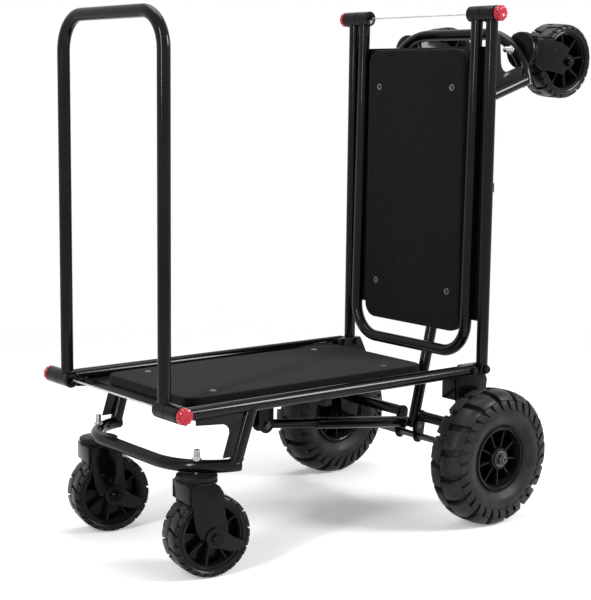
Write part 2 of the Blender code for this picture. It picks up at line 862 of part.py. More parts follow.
def rear_rim(bm):
    bore = hole_r(BEARING_R, RUN, REAR_SIDES)
    half = (
        (HUB_HALF_LENGTH, BEARING_R + 0.012),
        (0.011, BEARING_R + 0.014),
        (0.011, REAR_RIM_R - 0.0135),
        (HUB_HALF_LENGTH, REAR_RIM_R - 0.0115),
        (HUB_HALF_LENGTH + 0.003, REAR_RIM_R - 0.002),
        (HUB_HALF_LENGTH, REAR_RIM_R),
        (HUB_HALF_LENGTH - 0.004, REAR_RIM_R - 0.0075),
    )
    near = [(-y, r) for y, r in half]
    loop = [(-HUB_HALF_LENGTH, bore), (HUB_HALF_LENGTH, bore)] + list(half) + near[::-1]
    turned(bm, "Y", (0, 0, 0), loop, REAR_SIDES, ring=True)


def rear_tyre(bm):
    bead = REAR_RIM_R - 0.0075 + GAP
    crown = corner_r(REAR_R, REAR_SIDES)
    half = (
        (HUB_HALF_LENGTH - 0.005, bead),
        (HUB_HALF_LENGTH - 0.001, REAR_RIM_R + 0.0007),
        (REAR_HALF_WIDTH, REAR_RIM_R + 0.0235),
        (REAR_HALF_WIDTH, REAR_R - 0.036),
        (REAR_HALF_WIDTH - 0.006, REAR_R - 0.012),
        (REAR_CROWN, crown),
    )
    loop = list(half) + [(-y, r) for y, r in half][::-1]
    turned(bm, "Y", (0, 0, 0), loop, REAR_SIDES, ring=True)


# Centre, drawn from the middle of the rear axle line on the floor


def leg_outline():
    top = PIN_HEIGHT + LEG_RISE
    edge = PIN_X + LEG_MARGIN
    waist = PIN_HEIGHT - LEG_WAIST
    foot = REAR_R - LEG_FOOT_R
    return (
        (-edge, PIN_HEIGHT),
        (-edge + 0.006, top),
        (edge - 0.006, top),
        (edge, PIN_HEIGHT),
        (LEG_BULGE_X, PIN_HEIGHT - 0.029),
        (LEG_BULGE_X - 0.004, waist),
        (LEG_FOOT_R, REAR_R - 0.008),
        (LEG_FOOT_R / 2, foot),
        (-LEG_FOOT_R / 2, foot),
        (-LEG_FOOT_R, REAR_R - 0.008),
        (-edge, waist),
    )


def ear_outline():
    """Plate round the axle, the struts' bolt and the stub tube."""
    return belt((
        (0, REAR_R, AXLE_R + 0.0075),
        (STRUT_PIVOT_X, STRUT_PIVOT_HEIGHT, STRUT_BOLT_R + 0.010),
        (BEAM_X, BEAM_HEIGHT, BEAM_R + 0.002),
    ))


def strut_gap():
    """Inner faces of the near and far ears that the struts turn between."""
    return STRUT_Y["rear"] - TUBE_R - GAP, STRUT_Y["front"] + TUBE_R + GAP


def leg_mesh(side):
    """A leg plate with its front flange, stub tube and strut ear."""
    outer = side * LEG_PLATE_Y
    inner = side * LEG_INNER_Y
    edge = PIN_X + LEG_MARGIN
    ear = strut_gap()[0 if side < 0 else 1]
    ear_back = ear + side * EAR_SHEET

    def web(bm):
        prism(bm, leg_outline(), min(outer, inner), max(outer, inner))

    def flange(bm):
        ends = sorted((side * FLANGE_INNER_Y, side * (LEG_INNER_Y + LEG_PLATE_SHEET / 2)))
        low = (-edge, ends[0], PIN_HEIGHT - FLANGE_BOTTOM)
        high = (-edge + FLANGE_SHEET, ends[1], PIN_HEIGHT - FLANGE_TOP)
        block(bm, low, high)

    def stub(bm):
        ends = ((ear + side * EAR_SHEET / 2, BEAM_R), (inner + side * LEG_PLATE_SHEET / 2, BEAM_R))
        turned(bm, "Y", (BEAM_X, 0, BEAM_HEIGHT), ends, TUBE_SIDES)

    def ear_plate(bm):
        prism(bm, ear_outline(), min(ear, ear_back), max(ear, ear_back))

    def holes(bm):
        ends = (0, side * (LEG_PLATE_Y + LEG_PLATE_SHEET))
        for x, z, r in (
            (-PIN_X, PIN_HEIGHT, PIN_R),
            (PIN_X, PIN_HEIGHT, PIN_R),
            (0, REAR_R, AXLE_R),
            (STRUT_PIVOT_X, STRUT_PIVOT_HEIGHT, STRUT_BOLT_R),
        ):
            radius = hole_r(r, GAP, BOLT_SIDES)
            turned(bm, "Y", (x, 0, z), [(y, radius) for y in ends], BOLT_SIDES)

    leg = Build("leg", web).join(flange).join(stub).join(ear_plate)
    return leg.cut(holes).mesh()


def strut_bolt(bm):
    """Bolt and nut through both struts, with the spacer between them."""
    near, far = strut_gap()
    head = near - EAR_SHEET - GAP
    nut = far + EAR_SHEET + GAP
    spacer = STRUT_Y["rear"] + TUBE_R + GAP
    turned(bm, "Y", (STRUT_PIVOT_X, 0, STRUT_PIVOT_HEIGHT), (
        (head - 0.006, 0.0078, 6),
        (head, 0.0078, 6),
        (head, STRUT_BOLT_R),
        (spacer, STRUT_BOLT_R),
        (spacer, 0.008),
        (spacer + STRUT_SPACER, 0.008),
        (spacer + STRUT_SPACER, STRUT_BOLT_R),
        (nut, STRUT_BOLT_R),
        (nut, 0.0078, 6),
        (nut + 0.007, 0.0078, 6),
    ), BOLT_SIDES)


def hinge_bolt(bm):
    """Pin bolt and nut of one side tube, drawn for the +y side."""
    head = SIDE_TUBE_Y + TUBE_R + GAP
    nut = LEG_INNER_Y - GAP
    turned(bm, "Y", (0, 0, 0), (
        (head + 0.0070, 0.0080, 6),
        (head + 0.0015, 0.0080, 6),
        (head + 0.0015, 0.0095),
        (head, 0.0095),
        (head, PIN_R),
        (nut, PIN_R),
        (nut, 0.0085, 6),
        (nut - 0.008, 0.0085, 6),
    ), BOLT_SIDES)


def axle_rod(bm):
    """Axle with the spacers beside its legs and the nuts outside its wheels."""
    leg = LEG_PLATE_Y + GAP
    hub = REAR_WHEEL_Y - HUB_HALF_LENGTH - GAP
    nut = REAR_WHEEL_Y + HUB_HALF_LENGTH + BEARING_FLANGE + 2 * GAP
    half = (
        (leg, AXLE_R),
        (leg, SPACER_R),
        (hub, SPACER_R),
        (hub, AXLE_R),
        (nut, AXLE_R),
        (nut, AXLE_NUT_R, 6),
        (nut + AXLE_NUT_HEIGHT, AXLE_NUT_R, 6),
        (nut + AXLE_NUT_HEIGHT, AXLE_R),
        (nut + AXLE_NUT_HEIGHT + AXLE_TIP, AXLE_R),
    )
    near = [(-section[0], *section[1:]) for section in half]
    turned(bm, "Y", (0, 0, REAR_R), near[::-1] + list(half), BOLT_SIDES)


def wheel_bearing(bm):
    """Flanged sleeve in a rear hub, its flange towards +y."""
    bore = hole_r(AXLE_R, RUN, BOLT_SIDES)
    face = HUB_HALF_LENGTH + GAP
    turned(bm, "Y", (0, 0, 0), (
        (-HUB_HALF_LENGTH, bore),
        (-HUB_HALF_LENGTH, BEARING_R),
        (face, BEARING_R),
        (face, BEARING_FLANGE_R),
        (face + BEARING_FLANGE, BEARING_FLANGE_R),
        (face + BEARING_FLANGE, bore),
    ), BOLT_SIDES, ring=True)


# Strut, drawn along +x from its lower pivot


def strut_tube_mesh():
    """Outer tube, open at its mouth."""
    bore = hole_r(STRUT_ROD_R, RUN, TUBE_SIDES)

    def outer(bm):
        turned(bm, "X", (0, 0, 0), (
            (-STRUT_TAIL, TUBE_R),
            (STRUT_TUBE_LENGTH, TUBE_R),
            (STRUT_TUBE_LENGTH, bore),
            (TUBE_R + STRUT_BOLT_R, bore),
        ), TUBE_SIDES)

    def pivot(bm):
        radius = hole_r(STRUT_BOLT_R, RUN, BOLT_SIDES)
        turned(bm, "Y", (0, 0, 0), ((-2 * TUBE_R, radius), (2 * TUBE_R, radius)), BOLT_SIDES)

    return Build("strut_tube", outer).cut(pivot).mesh()


def strut_rod(bm):
    """Inner rod, drawn about the centre of its upper eye."""
    turned(bm, "X", (0, 0, 0), (
        (-STRUT_ROD_LENGTH, STRUT_ROD_R),
        (STRUT_END / 2, STRUT_ROD_R),
        (STRUT_END, STRUT_ROD_R - STRUT_END / 3),
    ), TUBE_SIDES)


# Assembly


def add_half(name, hinge, meshes, paints):
    side = {"front": -1, "rear": 1}[name]
    place(name + "_deck_frame", deck_frame_mesh(side * STRUT_Y[name]), paints["enamel"], hinge)
    place(name + "_subframe", meshes["subframe"], paints["enamel"], hinge)
    place(name + "_deck_board", meshes["board"], paints["carpet"], hinge)
    place(name + "_deck_screws_inner", meshes["screws"], paints["zinc"], hinge, (SCREW_START, 0, 0))
    place(name + "_deck_screws_outer", meshes["screws"], paints["zinc"], hinge, (SCREW_END, 0, 0))


def add_handle(name, hinge, turn, meshes, paints):
    """The handle with its wire, and the two buttons that stay on the half frame."""
    joint = (HALF_LENGTH, 0, CORNER_LIFT)
    axis = empty(name + "_handle_axis", hinge, joint, Matrix.Rotation(turn, 4, "Y"))
    place(name + "_handle", meshes["handle"], paints["enamel"], axis)
    place(name + "_release_wire", meshes["wire"], paints["zinc"], axis)
    near = {"front": 1, "rear": -1}[name]
    for label, side in (("near", near), ("far", -near)):
        turned_out = Matrix.Rotation(0 if side > 0 else math.pi, 4, "Z")
        anchor = empty(name + "_button_axis_" + label, hinge, joint, turned_out)
        place(name + "_button_" + label, meshes["button"], paints["red"], anchor)


def add_caster(half, label, hinge, side, meshes, paints):
    name = "caster_" + half + "_" + label
    swivel = Matrix.Rotation(SWIVELS[half + "_" + label], 4, "Z")
    stem = empty(name + "_swivel", hinge, (STEM_X, side * STEM_Y, CASTER_TOP), swivel)
    hub = empty(name + "_hub", stem, (CASTER_TRAIL, 0, -HUB_DROP))
    place(name + "_stem", meshes["stem"], paints["zinc"], hinge, (STEM_X, side * STEM_Y, 0))
    place(name + "_fork", meshes["fork"], paints["enamel"], stem)
    place(name + "_axle", meshes["caster_axle"], paints["zinc"], hub)
    place(name + "_rim", meshes["caster_rim"], paints["plastic"], hub)
    place(name + "_tyre", meshes["caster_tyre"], paints["rubber"], hub)
    place(name + "_brake", meshes["brake"], paints["enamel"], hub)


def add_strut(name, cart, hinge_x, level, meshes, paints):
    """A strut from the centre bolt to its bracket; level says that its half lies flat."""
    outward = -1 if hinge_x < 0 else 1
    if level:
        eye = (hinge_x + outward * BRACKET_X, PIN_HEIGHT - BRACKET_DROP)
    else:
        eye = (hinge_x + outward * BRACKET_DROP, PIN_HEIGHT + BRACKET_X)
    run = eye[0] - STRUT_PIVOT_X
    rise = eye[1] - STRUT_PIVOT_HEIGHT
    tilt = Matrix.Rotation(math.atan2(-rise, run), 4, "Y")
    pivot = (STRUT_PIVOT_X, STRUT_Y[name], STRUT_PIVOT_HEIGHT)
    axis = empty(name + "_strut_axis", cart, pivot, tilt)
    place(name + "_strut_tube", meshes["strut_tube"], paints["enamel"], axis)
    place(name + "_strut_rod", meshes["strut_rod"], paints["enamel"], axis, (math.hypot(run, rise), 0, 0))


def add_centre(cart, meshes, paints):
    place("strut_bolt", simple("strut_bolt", strut_bolt), paints["zinc"], cart)
    place("axle_rod", simple("axle_rod", axle_rod), paints["zinc"], cart)
    for label, side in (("near", -1), ("far", 1)):
        outward = Matrix.Rotation(0 if side > 0 else math.pi, 4, "Z")
        place("leg_" + label, leg_mesh(side), paints["enamel"], cart)
        for half, x in (("front", -PIN_X), ("rear", PIN_X)):
            pin = empty(half + "_pin_" + label, cart, (x, 0, PIN_HEIGHT), outward)
            place("hinge_bolt_" + half + "_" + label, meshes["hinge_bolt"], paints["zinc"], pin)
        name = "rear_wheel_" + label
        hub = empty(name + "_hub", cart, (0, side * REAR_WHEEL_Y, REAR_R), outward)
        place(name + "_bearing", meshes["bearing"], paints["zinc"], hub)
        place(name + "_rim", meshes["rear_rim"], paints["plastic"], hub)
        place(name + "_tyre", meshes["rear_tyre"], paints["rubber"], hub)


def make_paints():
    return {
        "enamel": paint("black_enamel", (0.012, 0.012, 0.014), 0.28),
        "carpet": paint("black_carpet", (0.012, 0.012, 0.013), 0.95),
        "plastic": paint("black_plastic", (0.015, 0.015, 0.016), 0.38),
        "rubber": paint("black_rubber", (0.022, 0.022, 0.024), 0.80),
        "zinc": paint("zinc_plate", (0.55, 0.55, 0.56), 0.35, 0.9),
        "red": paint("red_plastic", (0.70, 0.02, 0.04), 0.20),
    }


def make_meshes():
    return {
        "subframe": subframe_mesh(),
        "board": Build("deck_board", board).cut(sunk_screw_holes).mesh(),
        "screws": deck_screws_mesh(),
        "stem": simple("caster_stem", caster_stem),
        "handle": handle_mesh(),
        "wire": simple("release_wire", release_wire),
        "button": simple("button", button),
        "fork": fork_mesh(),
        "caster_axle": simple("caster_axle", caster_axle),
        "caster_rim": simple("caster_rim", caster_rim),
        "caster_tyre": simple("caster_tyre", caster_tyre),
        "brake": Build("caster_brake", brake_plate).cut(brake_bore).mesh(),
        "hinge_bolt": simple("hinge_bolt", hinge_bolt),
        "bearing": simple("wheel_bearing", wheel_bearing),
        "rear_rim": simple("rear_rim", rear_rim),
        "rear_tyre": simple("rear_tyre", rear_tyre),
        "strut_tube": strut_tube_mesh(),
        "strut_rod": simple("strut_rod", strut_rod),
    }


def centre_on_origin(cart):
    """Moves the cart so that the middle of its outline is over the origin."""
    bpy.context.view_layer.update()
    xs = []
    for piece in bpy.data.objects:
        if piece.type == "MESH":
            xs += [(piece.matrix_world @ vertex.co).x for vertex in piece.data.vertices]
    cart.location.x = -(min(xs) + max(xs)) / 2


def main():
    clear_scene()
    paints = make_paints()
    meshes = make_meshes()
    cart = empty("cart", None, (0, 0, 0))
    level = Matrix.Rotation(math.pi, 4, "Z")
    upright = Matrix.Rotation(-math.pi / 2, 4, "Y")
    hinges = {
        "front": empty("front_hinge", cart, (-PIN_X, 0, PIN_HEIGHT), level),
        "rear": empty("rear_hinge", cart, (PIN_X, 0, PIN_HEIGHT), upright),
    }
    handle_turns = {"front": -math.pi / 2, "rear": math.pi + FOLDED_LEAN}
    add_centre(cart, meshes, paints)
    for name, hinge in hinges.items():
        add_half(name, hinge, meshes, paints)
        add_handle(name, hinge, handle_turns[name], meshes, paints)
        near = {"front": 1, "rear": -1}[name]
        add_caster(name, "near", hinge, near, meshes, paints)
        add_caster(name, "far", hinge, -near, meshes, paints)
    add_strut("front", cart, -PIN_X, True, meshes, paints)
    add_strut("rear", cart, PIN_X, False, meshes, paints)
    centre_on_origin(cart)


main()
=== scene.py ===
import json
import math

import bmesh
import bpy
from mathutils import Matrix, Vector


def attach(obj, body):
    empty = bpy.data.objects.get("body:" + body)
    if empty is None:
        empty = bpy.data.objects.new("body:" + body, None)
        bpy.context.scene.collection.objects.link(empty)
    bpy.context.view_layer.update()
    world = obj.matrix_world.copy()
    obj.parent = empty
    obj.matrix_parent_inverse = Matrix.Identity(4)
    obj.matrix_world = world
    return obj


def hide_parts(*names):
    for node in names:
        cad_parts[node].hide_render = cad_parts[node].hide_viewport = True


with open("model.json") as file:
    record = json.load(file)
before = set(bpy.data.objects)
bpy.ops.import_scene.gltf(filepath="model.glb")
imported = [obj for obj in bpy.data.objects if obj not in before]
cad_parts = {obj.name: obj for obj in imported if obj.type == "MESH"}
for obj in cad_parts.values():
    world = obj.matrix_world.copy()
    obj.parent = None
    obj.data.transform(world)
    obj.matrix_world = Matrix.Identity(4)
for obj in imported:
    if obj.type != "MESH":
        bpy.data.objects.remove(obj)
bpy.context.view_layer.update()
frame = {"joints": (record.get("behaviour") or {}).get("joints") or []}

# Sizes of the CAD part, in metres. A half frame is drawn with x from its hinge pin outwards along
# the deck, y across and z out of the side that carries the load.
GAP = 0.0003
TUBE_R = 0.0127
HALF_LENGTH = 0.7575
SIDE_TUBE_Y = 0.221
PIN_X = 0.018
PIN_HEIGHT = 0.3288
TUBE_END = 0.012
PIN_R = 0.005

CORNER_R = 0.017
CORNER_INNER_Y = 0.162
CORNER_SPLIT_Y = 0.200
CORNER_OUTER_Y = 0.240
CORNER_LIFT = CORNER_R - TUBE_R - GAP
# Drawn round, the corner fittings are a little slimmer, to stay inside the faceted ones of the CAD
CORNER_ROUND_R = CORNER_R - 0.0004
CAP_SKIRT_Y = CORNER_OUTER_Y + 0.003 + GAP
CAP_LENGTH = 0.0125
LOCK_STEM_R = 0.0099
LOCK_STEM_TIP_Y = 0.178

HANDLE_Y = 0.181
HANDLE_LENGTH = 0.731
HANDLE_BEND_R = 0.070
FOLDED_LEAN = math.radians(0.76)
WIRE_R = 0.0015
# The rope reaches out to the crests of its strands and twists by an angle at each step
ROPE_R = WIRE_R * 1.2
ROPE_SIDES = 12
ROPE_STEPS = 260
ROPE_STRANDS = 3
ROPE_TWIST = 0.9
FERRULE_R = 0.003
FERRULE_LENGTH = 0.008

BOARD_START = 0.070
BOARD_END = 0.686
BOARD_HALF_WIDTH = 0.156
BOARD_TOP = 0.0115
BOARD_THICKNESS = 0.020
BOARD_CORNER_R = 0.032
SCREW_PLACES = {"inner": 0.158, "outer": 0.603}
SCREW_Y = 0.1175
SCREW_R = 0.003
TRAY_START = 0.100
TRAY_END = 0.690
TRAY_SHEET = 0.002
TRAY_TOP = BOARD_TOP - BOARD_THICKNESS - GAP
TRAY_UNDER = TRAY_TOP - TRAY_SHEET
TRAY_LIPS = ((TRAY_START, 0.009), (TRAY_END - TRAY_SHEET, 0.015))
LEG_INNER_Y = 0.1957
LEG_OUTER_Y = 0.2077

SUBFRAME_DROP = 0.114
SUBFRAME_END = 0.7205
SUBFRAME_ARM_END = 0.612
SUBFRAME_BEND_R = 0.128
STEM_BEND_ANGLE = math.radians(46.3)
BEND_CENTRE_X = SUBFRAME_END - SUBFRAME_BEND_R
BEND_CENTRE_Y = SIDE_TUBE_Y - SUBFRAME_BEND_R
STEM_X = BEND_CENTRE_X + SUBFRAME_BEND_R * math.sin(STEM_BEND_ANGLE)
STEM_Y = BEND_CENTRE_Y + SUBFRAME_BEND_R * math.cos(STEM_BEND_ANGLE)
LEG_TOP_X = 0.587
LEG_FOOT_X = 0.622
GUSSET_SHEET = 0.004
GUSSET_END = 0.714
GUSSET_END_DEPTH = 0.0116
GUSSET_INNER_DEPTH = 0.0336
GUSSET_DEPTH = 0.0826
GUSSET_WIDTH = 0.036

CASTER_R = 0.0815
CASTER_HALF_WIDTH = 0.0335
CASTER_TRAIL = 0.0205
CASTER_TOP = -SUBFRAME_DROP - TUBE_R - GAP
HUB_DROP = PIN_HEIGHT + CASTER_TOP - CASTER_R
CASTER_RIM_R = 0.069
STEM_R = 0.006
HOUSING_R = 0.040
HOUSING_HEIGHT = 0.013
CROWN_SHEET = 0.007
FORK_FRONT = 0.029
FORK_HALF_WIDTH = 0.0385
FORK_SHEET = 0.004
GUARD_SHEET = 0.006
CASTER_BOLT_R = 0.006
LEVER_SHEET = 0.0045
LEVER_Y = -FORK_HALF_WIDTH - GAP
SWIVELS = {
    ("front", "near"): math.radians(171.4),
    ("front", "far"): math.radians(167.6),
    ("rear", "near"): math.radians(176.0),
    ("rear", "far"): math.radians(184.0),
}

REAR_R = 0.147
REAR_WHEEL_Y = 0.2675
REAR_RIM_R = 0.0715
HUB_HALF_LENGTH = 0.034
BEARING_R = 0.0125
BEARING_FLANGE_R = 0.0175
BEARING_FLANGE = 0.002
AXLE_R = 0.0075
SPACER_R = 0.0112

LEG_EDGE = 0.036
FLANGE_INNER_Y = 0.155
FLANGE_SHEET = 0.006
FLANGE_BOTTOM = 0.069
FLANGE_TOP = 0.015
STUB_R = 0.012
STUB_X = 0.008
STUB_HEIGHT = 0.192

STRUT_PIVOT_X = -0.003
STRUT_PIVOT_HEIGHT = 0.172
STRUT_BOLT_R = 0.004
STRUT_TUBE_LENGTH = 0.265
STRUT_ROD_R = 0.0098
STRUT_ROD_LENGTH = 0.340
STRUT_TAIL = 0.008
STRUT_SPACER = 0.004
STRUT_PITCH = 2 * TUBE_R + STRUT_SPACER + 2 * GAP
STRUT_Y = {"front": 0.0, "rear": -STRUT_PITCH}
EAR_SHEET = 0.004
EARS = {"near": STRUT_Y["rear"] - TUBE_R - GAP, "far": STRUT_Y["front"] + TUBE_R + GAP}
BRACKET_X = 0.391
BRACKET_DROP = 0.107
BRACKET_HALF_WIDTH = 0.018
BRACKET_INNER = STRUT_ROD_R + 0.0005
BRACKET_SHEET = 0.004
RAIL_HALF_WIDTH = 0.010
RAIL_HEIGHT = 0.018

# Hexagon heads and nuts: radius over the corners, height and radius of the washer
HEADS = {
    "strut eye": (0.0082, 0.0058, 0.0095),
    "caster head": (0.0096, 0.0080, 0.0118),
    "caster nut": (0.0100, 0.0090, 0.0118),
    "stem nut": (0.0084, 0.0034, 0.0094),
    "pin head": (0.0086, 0.0068, 0.0100),
    "pin nut": (0.0085, 0.0075, 0.0098),
    "axle nut": (0.0122, 0.0092, 0.0128),
    "strut head": (0.0076, 0.0060, 0.0088),
    "strut nut": (0.0076, 0.0068, 0.0088),
}

# Treads: blocks on each side, their height, their lean and the groove between them
CASTER_TREAD = (13, 0.0045, math.radians(4.5), math.radians(3.4))
REAR_TREAD = (16, 0.0110, math.radians(3.6), math.radians(5.2))
CASTER_SPOKES = 8
REAR_SPOKES = 9

# Smoothness of the drawn pieces
TUBE_SIDES = 36
CORNER_SIDES = 40
WHEEL_SIDES = 80
BOLT_SIDES = 24
AXLE_SIDES = 32
BEARING_SIDES = 48
HOUSING_SIDES = 56
RING_SIDES = 32
TIP_SIDES = 28
FERRULE_SIDES = 20
DOME_SIDES = 14
BEAD_SIDES = 7
CAP_SIDES = 60
CAP_RIBS = 10
WELD_POINTS = 40
BEND_STEPS = 14
SMOOTH_ANGLE = math.radians(34)
FACET_ANGLE = math.radians(20)
SHARP_EDGE = math.radians(30)

SIDES = {"near": -1, "far": 1}
ENAMEL, CARPET, PLASTIC = "black_enamel", "black_carpet", "black_plastic"
RUBBER, ZINC, RED = "black_rubber", "zinc_plate", "red_plastic"


# Where things are

def find_cart():
    """The cart's own origin on the floor under the rear axle."""
    fold = [j for j in frame["joints"] if j["name"] == "front_fold"][0]
    return Matrix.Translation((fold["pos_m"][0] + PIN_X, 0, 0))


CART = find_cart()
HALVES = {
    "front": CART @ Matrix.Translation((-PIN_X, 0, PIN_HEIGHT)) @ Matrix.Rotation(math.pi, 4, "Z"),
    "rear": CART @ Matrix.Translation((PIN_X, 0, PIN_HEIGHT)) @ Matrix.Rotation(-math.pi / 2, 4, "Y"),
}
NEAR_SIDE = {"front": 1, "rear": -1}
JOINT_CENTRE = Matrix.Translation((HALF_LENGTH, 0, CORNER_LIFT))
HANDLES = {
    "front": HALVES["front"] @ JOINT_CENTRE @ Matrix.Rotation(-math.pi / 2, 4, "Y"),
    "rear": HALVES["rear"] @ JOINT_CENTRE @ Matrix.Rotation(math.pi + FOLDED_LEAN, 4, "Y"),
}


def half_turn(side):
    """Turns a piece that is drawn for the +y side to the side asked for."""
    return Matrix.Rotation(0 if side > 0 else math.pi, 4, "Z")


def half_sides(half):
    """The near and the far side in a half's own y direction."""
    return ("near", NEAR_SIDE[half]), ("far", -NEAR_SIDE[half])


# Drawing

def ring_point(axis, centre, height, radius, angle):
    across = radius * math.cos(angle)
    along = radius * math.sin(angle)
    offsets = {
        "X": (height, across, along),
        "Y": (across, height, along),
        "Z": (across, along, height),
    }
    return Vector(centre) + Vector(offsets[axis])


def hexagon_r(radius, angle):
    beyond = math.degrees(angle) - 15
    return radius * math.cos(math.radians(30)) / math.cos(math.radians(beyond % 60 - 30))


def bridge(bm, first, second):
    count = len(first)
    for k in range(count):
        n = (k + 1) % count
        bm.faces.new((first[k], first[n], second[n], second[k]))


def loft(bm, rings, ring=False):
    """Skin over a row of rings, with its ends closed or joined."""
    for first, second in zip(rings, rings[1:]):
        bridge(bm, first, second)
    if ring:
        bridge(bm, rings[-1], rings[0])
    else:
        bm.faces.new(rings[0])
        bm.faces.new(rings[-1])


def turned(bm, sections, sides, axis="Y", centre=(0, 0, 0), ring=False):
    """A turned solid from (height, radius) sections; a third value of 6 makes a section hexagonal."""
    rings = []
    for section in sections:
        height, radius = section[0], section[1]
        corners = []
        for k in range(sides):
            angle = (k + 0.5) * 2 * math.pi / sides
            reach = hexagon_r(radius, angle) if len(section) == 3 else radius
            corners.append(bm.verts.new(ring_point(axis, centre, height, reach, angle)))
        rings.append(corners)
    loft(bm, rings, ring)


def sweep(bm, path, normal, radius, sides, lobes=0, twist=0.0):
    """A bar along a path; with lobes it is the twisted outline of a wire rope."""
    points = [Vector(p) for p in path]
    normal = Vector(normal).normalized()
    rings = []
    for i, point in enumerate(points):
        before = (point - points[i - 1]).normalized() if i else None
        after = (points[i + 1] - point).normalized() if i + 1 < len(points) else None
        tangent = before or after
        stretch = 1.0
        if before is not None and after is not None:
            tangent = (before + after).normalized()
            stretch = 1.0 / before.dot(tangent)
        side = normal.cross(tangent)
        corners = []
        for k in range(sides):
            angle = (k + 0.5) * 2 * math.pi / sides
            swell = 1.0
            if lobes:
                swell = 0.86 + 0.14 * abs(math.cos(lobes * (angle - twist * i) / 2))
            up = normal * (radius * swell * math.sin(angle))
            corners.append(bm.verts.new(point + up + side * (radius * swell * stretch * math.cos(angle))))
        rings.append(corners)
    loft(bm, rings)


def prism(bm, outline, low_y, high_y):
    loft(bm, [[bm.verts.new((x, y, z)) for x, z in outline] for y in (low_y, high_y)])


def block(bm, low, high):
    (x0, y0, z0), (x1, y1, z1) = low, high
    prism(bm, ((x0, z0), (x1, z0), (x1, z1), (x0, z1)), y0, y1)


def arc(centre, radius, start, end, steps):
    points = []
    for k in range(steps + 1):
        angle = math.radians(start + (end - start) * k / steps)
        points.append((centre[0] + radius * math.cos(angle), centre[1] + radius * math.sin(angle)))
    return points


def softened(points, times=2):
    """A line of (y, r) points with its corners cut, so that it turns as a smooth curve."""
    for _ in range(times):
        cut = [points[0]]
        for a, b in zip(points, points[1:]):
            cut.append((0.75 * a[0] + 0.25 * b[0], 0.75 * a[1] + 0.25 * b[1]))
            cut.append((0.25 * a[0] + 0.75 * b[0], 0.25 * a[1] + 0.75 * b[1]))
        points = cut + [points[-1]]
    return points


class Shape:
    """Closed bodies gathered into one piece."""

    def __init__(self):
        self.bm = bmesh.new()

    def add(self, draw, *sizes, edge=0.0, steps=2, at=None):
        """One more body; edge rounds its sharp edges and at moves it."""
        body = bmesh.new()
        draw(body, *sizes)
        bmesh.ops.recalc_face_normals(body, faces=body.faces)
        if edge:
            sharp = [e for e in body.edges if e.is_manifold and e.calc_face_angle() > SHARP_EDGE]
            bmesh.ops.bevel(
                body, geom=sharp, offset=edge, segments=steps, profile=0.5, affect="EDGES", clamp_overlap=True
            )
        if at is not None:
            body.transform(at)
        return self.take(body)

    def turn(self, sections, sides, edge=0.0, at=None, **about):
        """One more body, turned about an axis."""
        return self.add(lambda bm: turned(bm, sections, sides, **about), edge=edge, at=at)

    def take(self, body):
        carrier = bpy.data.meshes.new("carrier")
        body.to_mesh(carrier)
        body.free()
        self.bm.from_mesh(carrier)
        bpy.data.meshes.remove(carrier)
        return self

    def add_mesh(self, mesh, at=None):
        body = bmesh.new()
        body.from_mesh(mesh)
        if at is not None:
            body.transform(at)
        return self.take(body)

    def mesh(self, name):
        mesh = bpy.data.meshes.new(name)
        self.bm.to_mesh(mesh)
        self.bm.free()
        return mesh


def show(name, data):
    """A new object in the scene."""
    made = bpy.data.objects.new(name, data)
    bpy.context.scene.collection.objects.link(made)
    return made


def piece(name, mesh, at, finish, body, stands_for=(), angle=SMOOTH_ANGLE):
    """A finished piece: its place is in its mesh, and it rides on a CAD body."""
    mesh = mesh.copy()
    mesh.name = name
    mesh.transform(at)
    if at.determinant() < 0:
        mesh.flip_normals()
    mesh.materials.clear()
    mesh.materials.append(FINISHES[finish])
    mesh.shade_smooth()
    mesh.set_sharp_from_angle(angle=angle)
    made = show(name, mesh)
    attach(made, body)
    if stands_for:
        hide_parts(*stands_for)


def half_piece(half, label, shape, finish, slot, *nodes):
    """A piece that rides on a deck half."""
    stands_for = [f"{half}_{node}" for node in nodes]
    piece(f"{half}_{label}", shape.mesh(label), HALVES[half], finish, half + "_half", stands_for)


# Building blocks of node trees

def feed(tree, socket, value):
    """Feeds a socket from another one, or gives it a plain value."""
    if isinstance(value, bpy.types.NodeSocket):
        tree.links.new(value, socket)
    else:
        socket.default_value = value


def add_node(tree, kind, inputs=None, **settings):
    """A node with its settings; each input takes a socket or a plain value."""
    made = tree.nodes.new(kind)
    for name, value in settings.items():
        setattr(made, name, value)
    for name, value in (inputs or {}).items():
        feed(tree, made.inputs[name], value)
    return made


def math_node(tree, operation, first, second):
    return add_node(tree, "ShaderNodeMath", {0: first, 1: second}, operation=operation).outputs[0]


# Geometry Nodes for what repeats

def node_tree(name, sockets):
    """A geometry tree with its named inputs; returns the tree, what it is given and the socket to feed."""
    tree = bpy.data.node_groups.new(name, "GeometryNodeTree")
    for label, kind in (("Geometry", "Geometry"), *sockets):
        tree.interface.new_socket(label, in_out="INPUT", socket_type="NodeSocket" + kind)
    tree.interface.new_socket("Geometry", in_out="OUTPUT", socket_type="NodeSocketGeometry")
    return tree, tree.nodes.new("NodeGroupInput").outputs, tree.nodes.new("NodeGroupOutput").inputs[0]


def instances(tree, points, shape, turn):
    """One shape on many points."""
    drawn = add_node(tree, "GeometryNodeObjectInfo", {"Object": shape}).outputs["Geometry"]
    inputs = {"Points": points, "Instance": drawn, "Rotation": turn.outputs[0]}
    return add_node(tree, "GeometryNodeInstanceOnPoints", inputs).outputs[0]


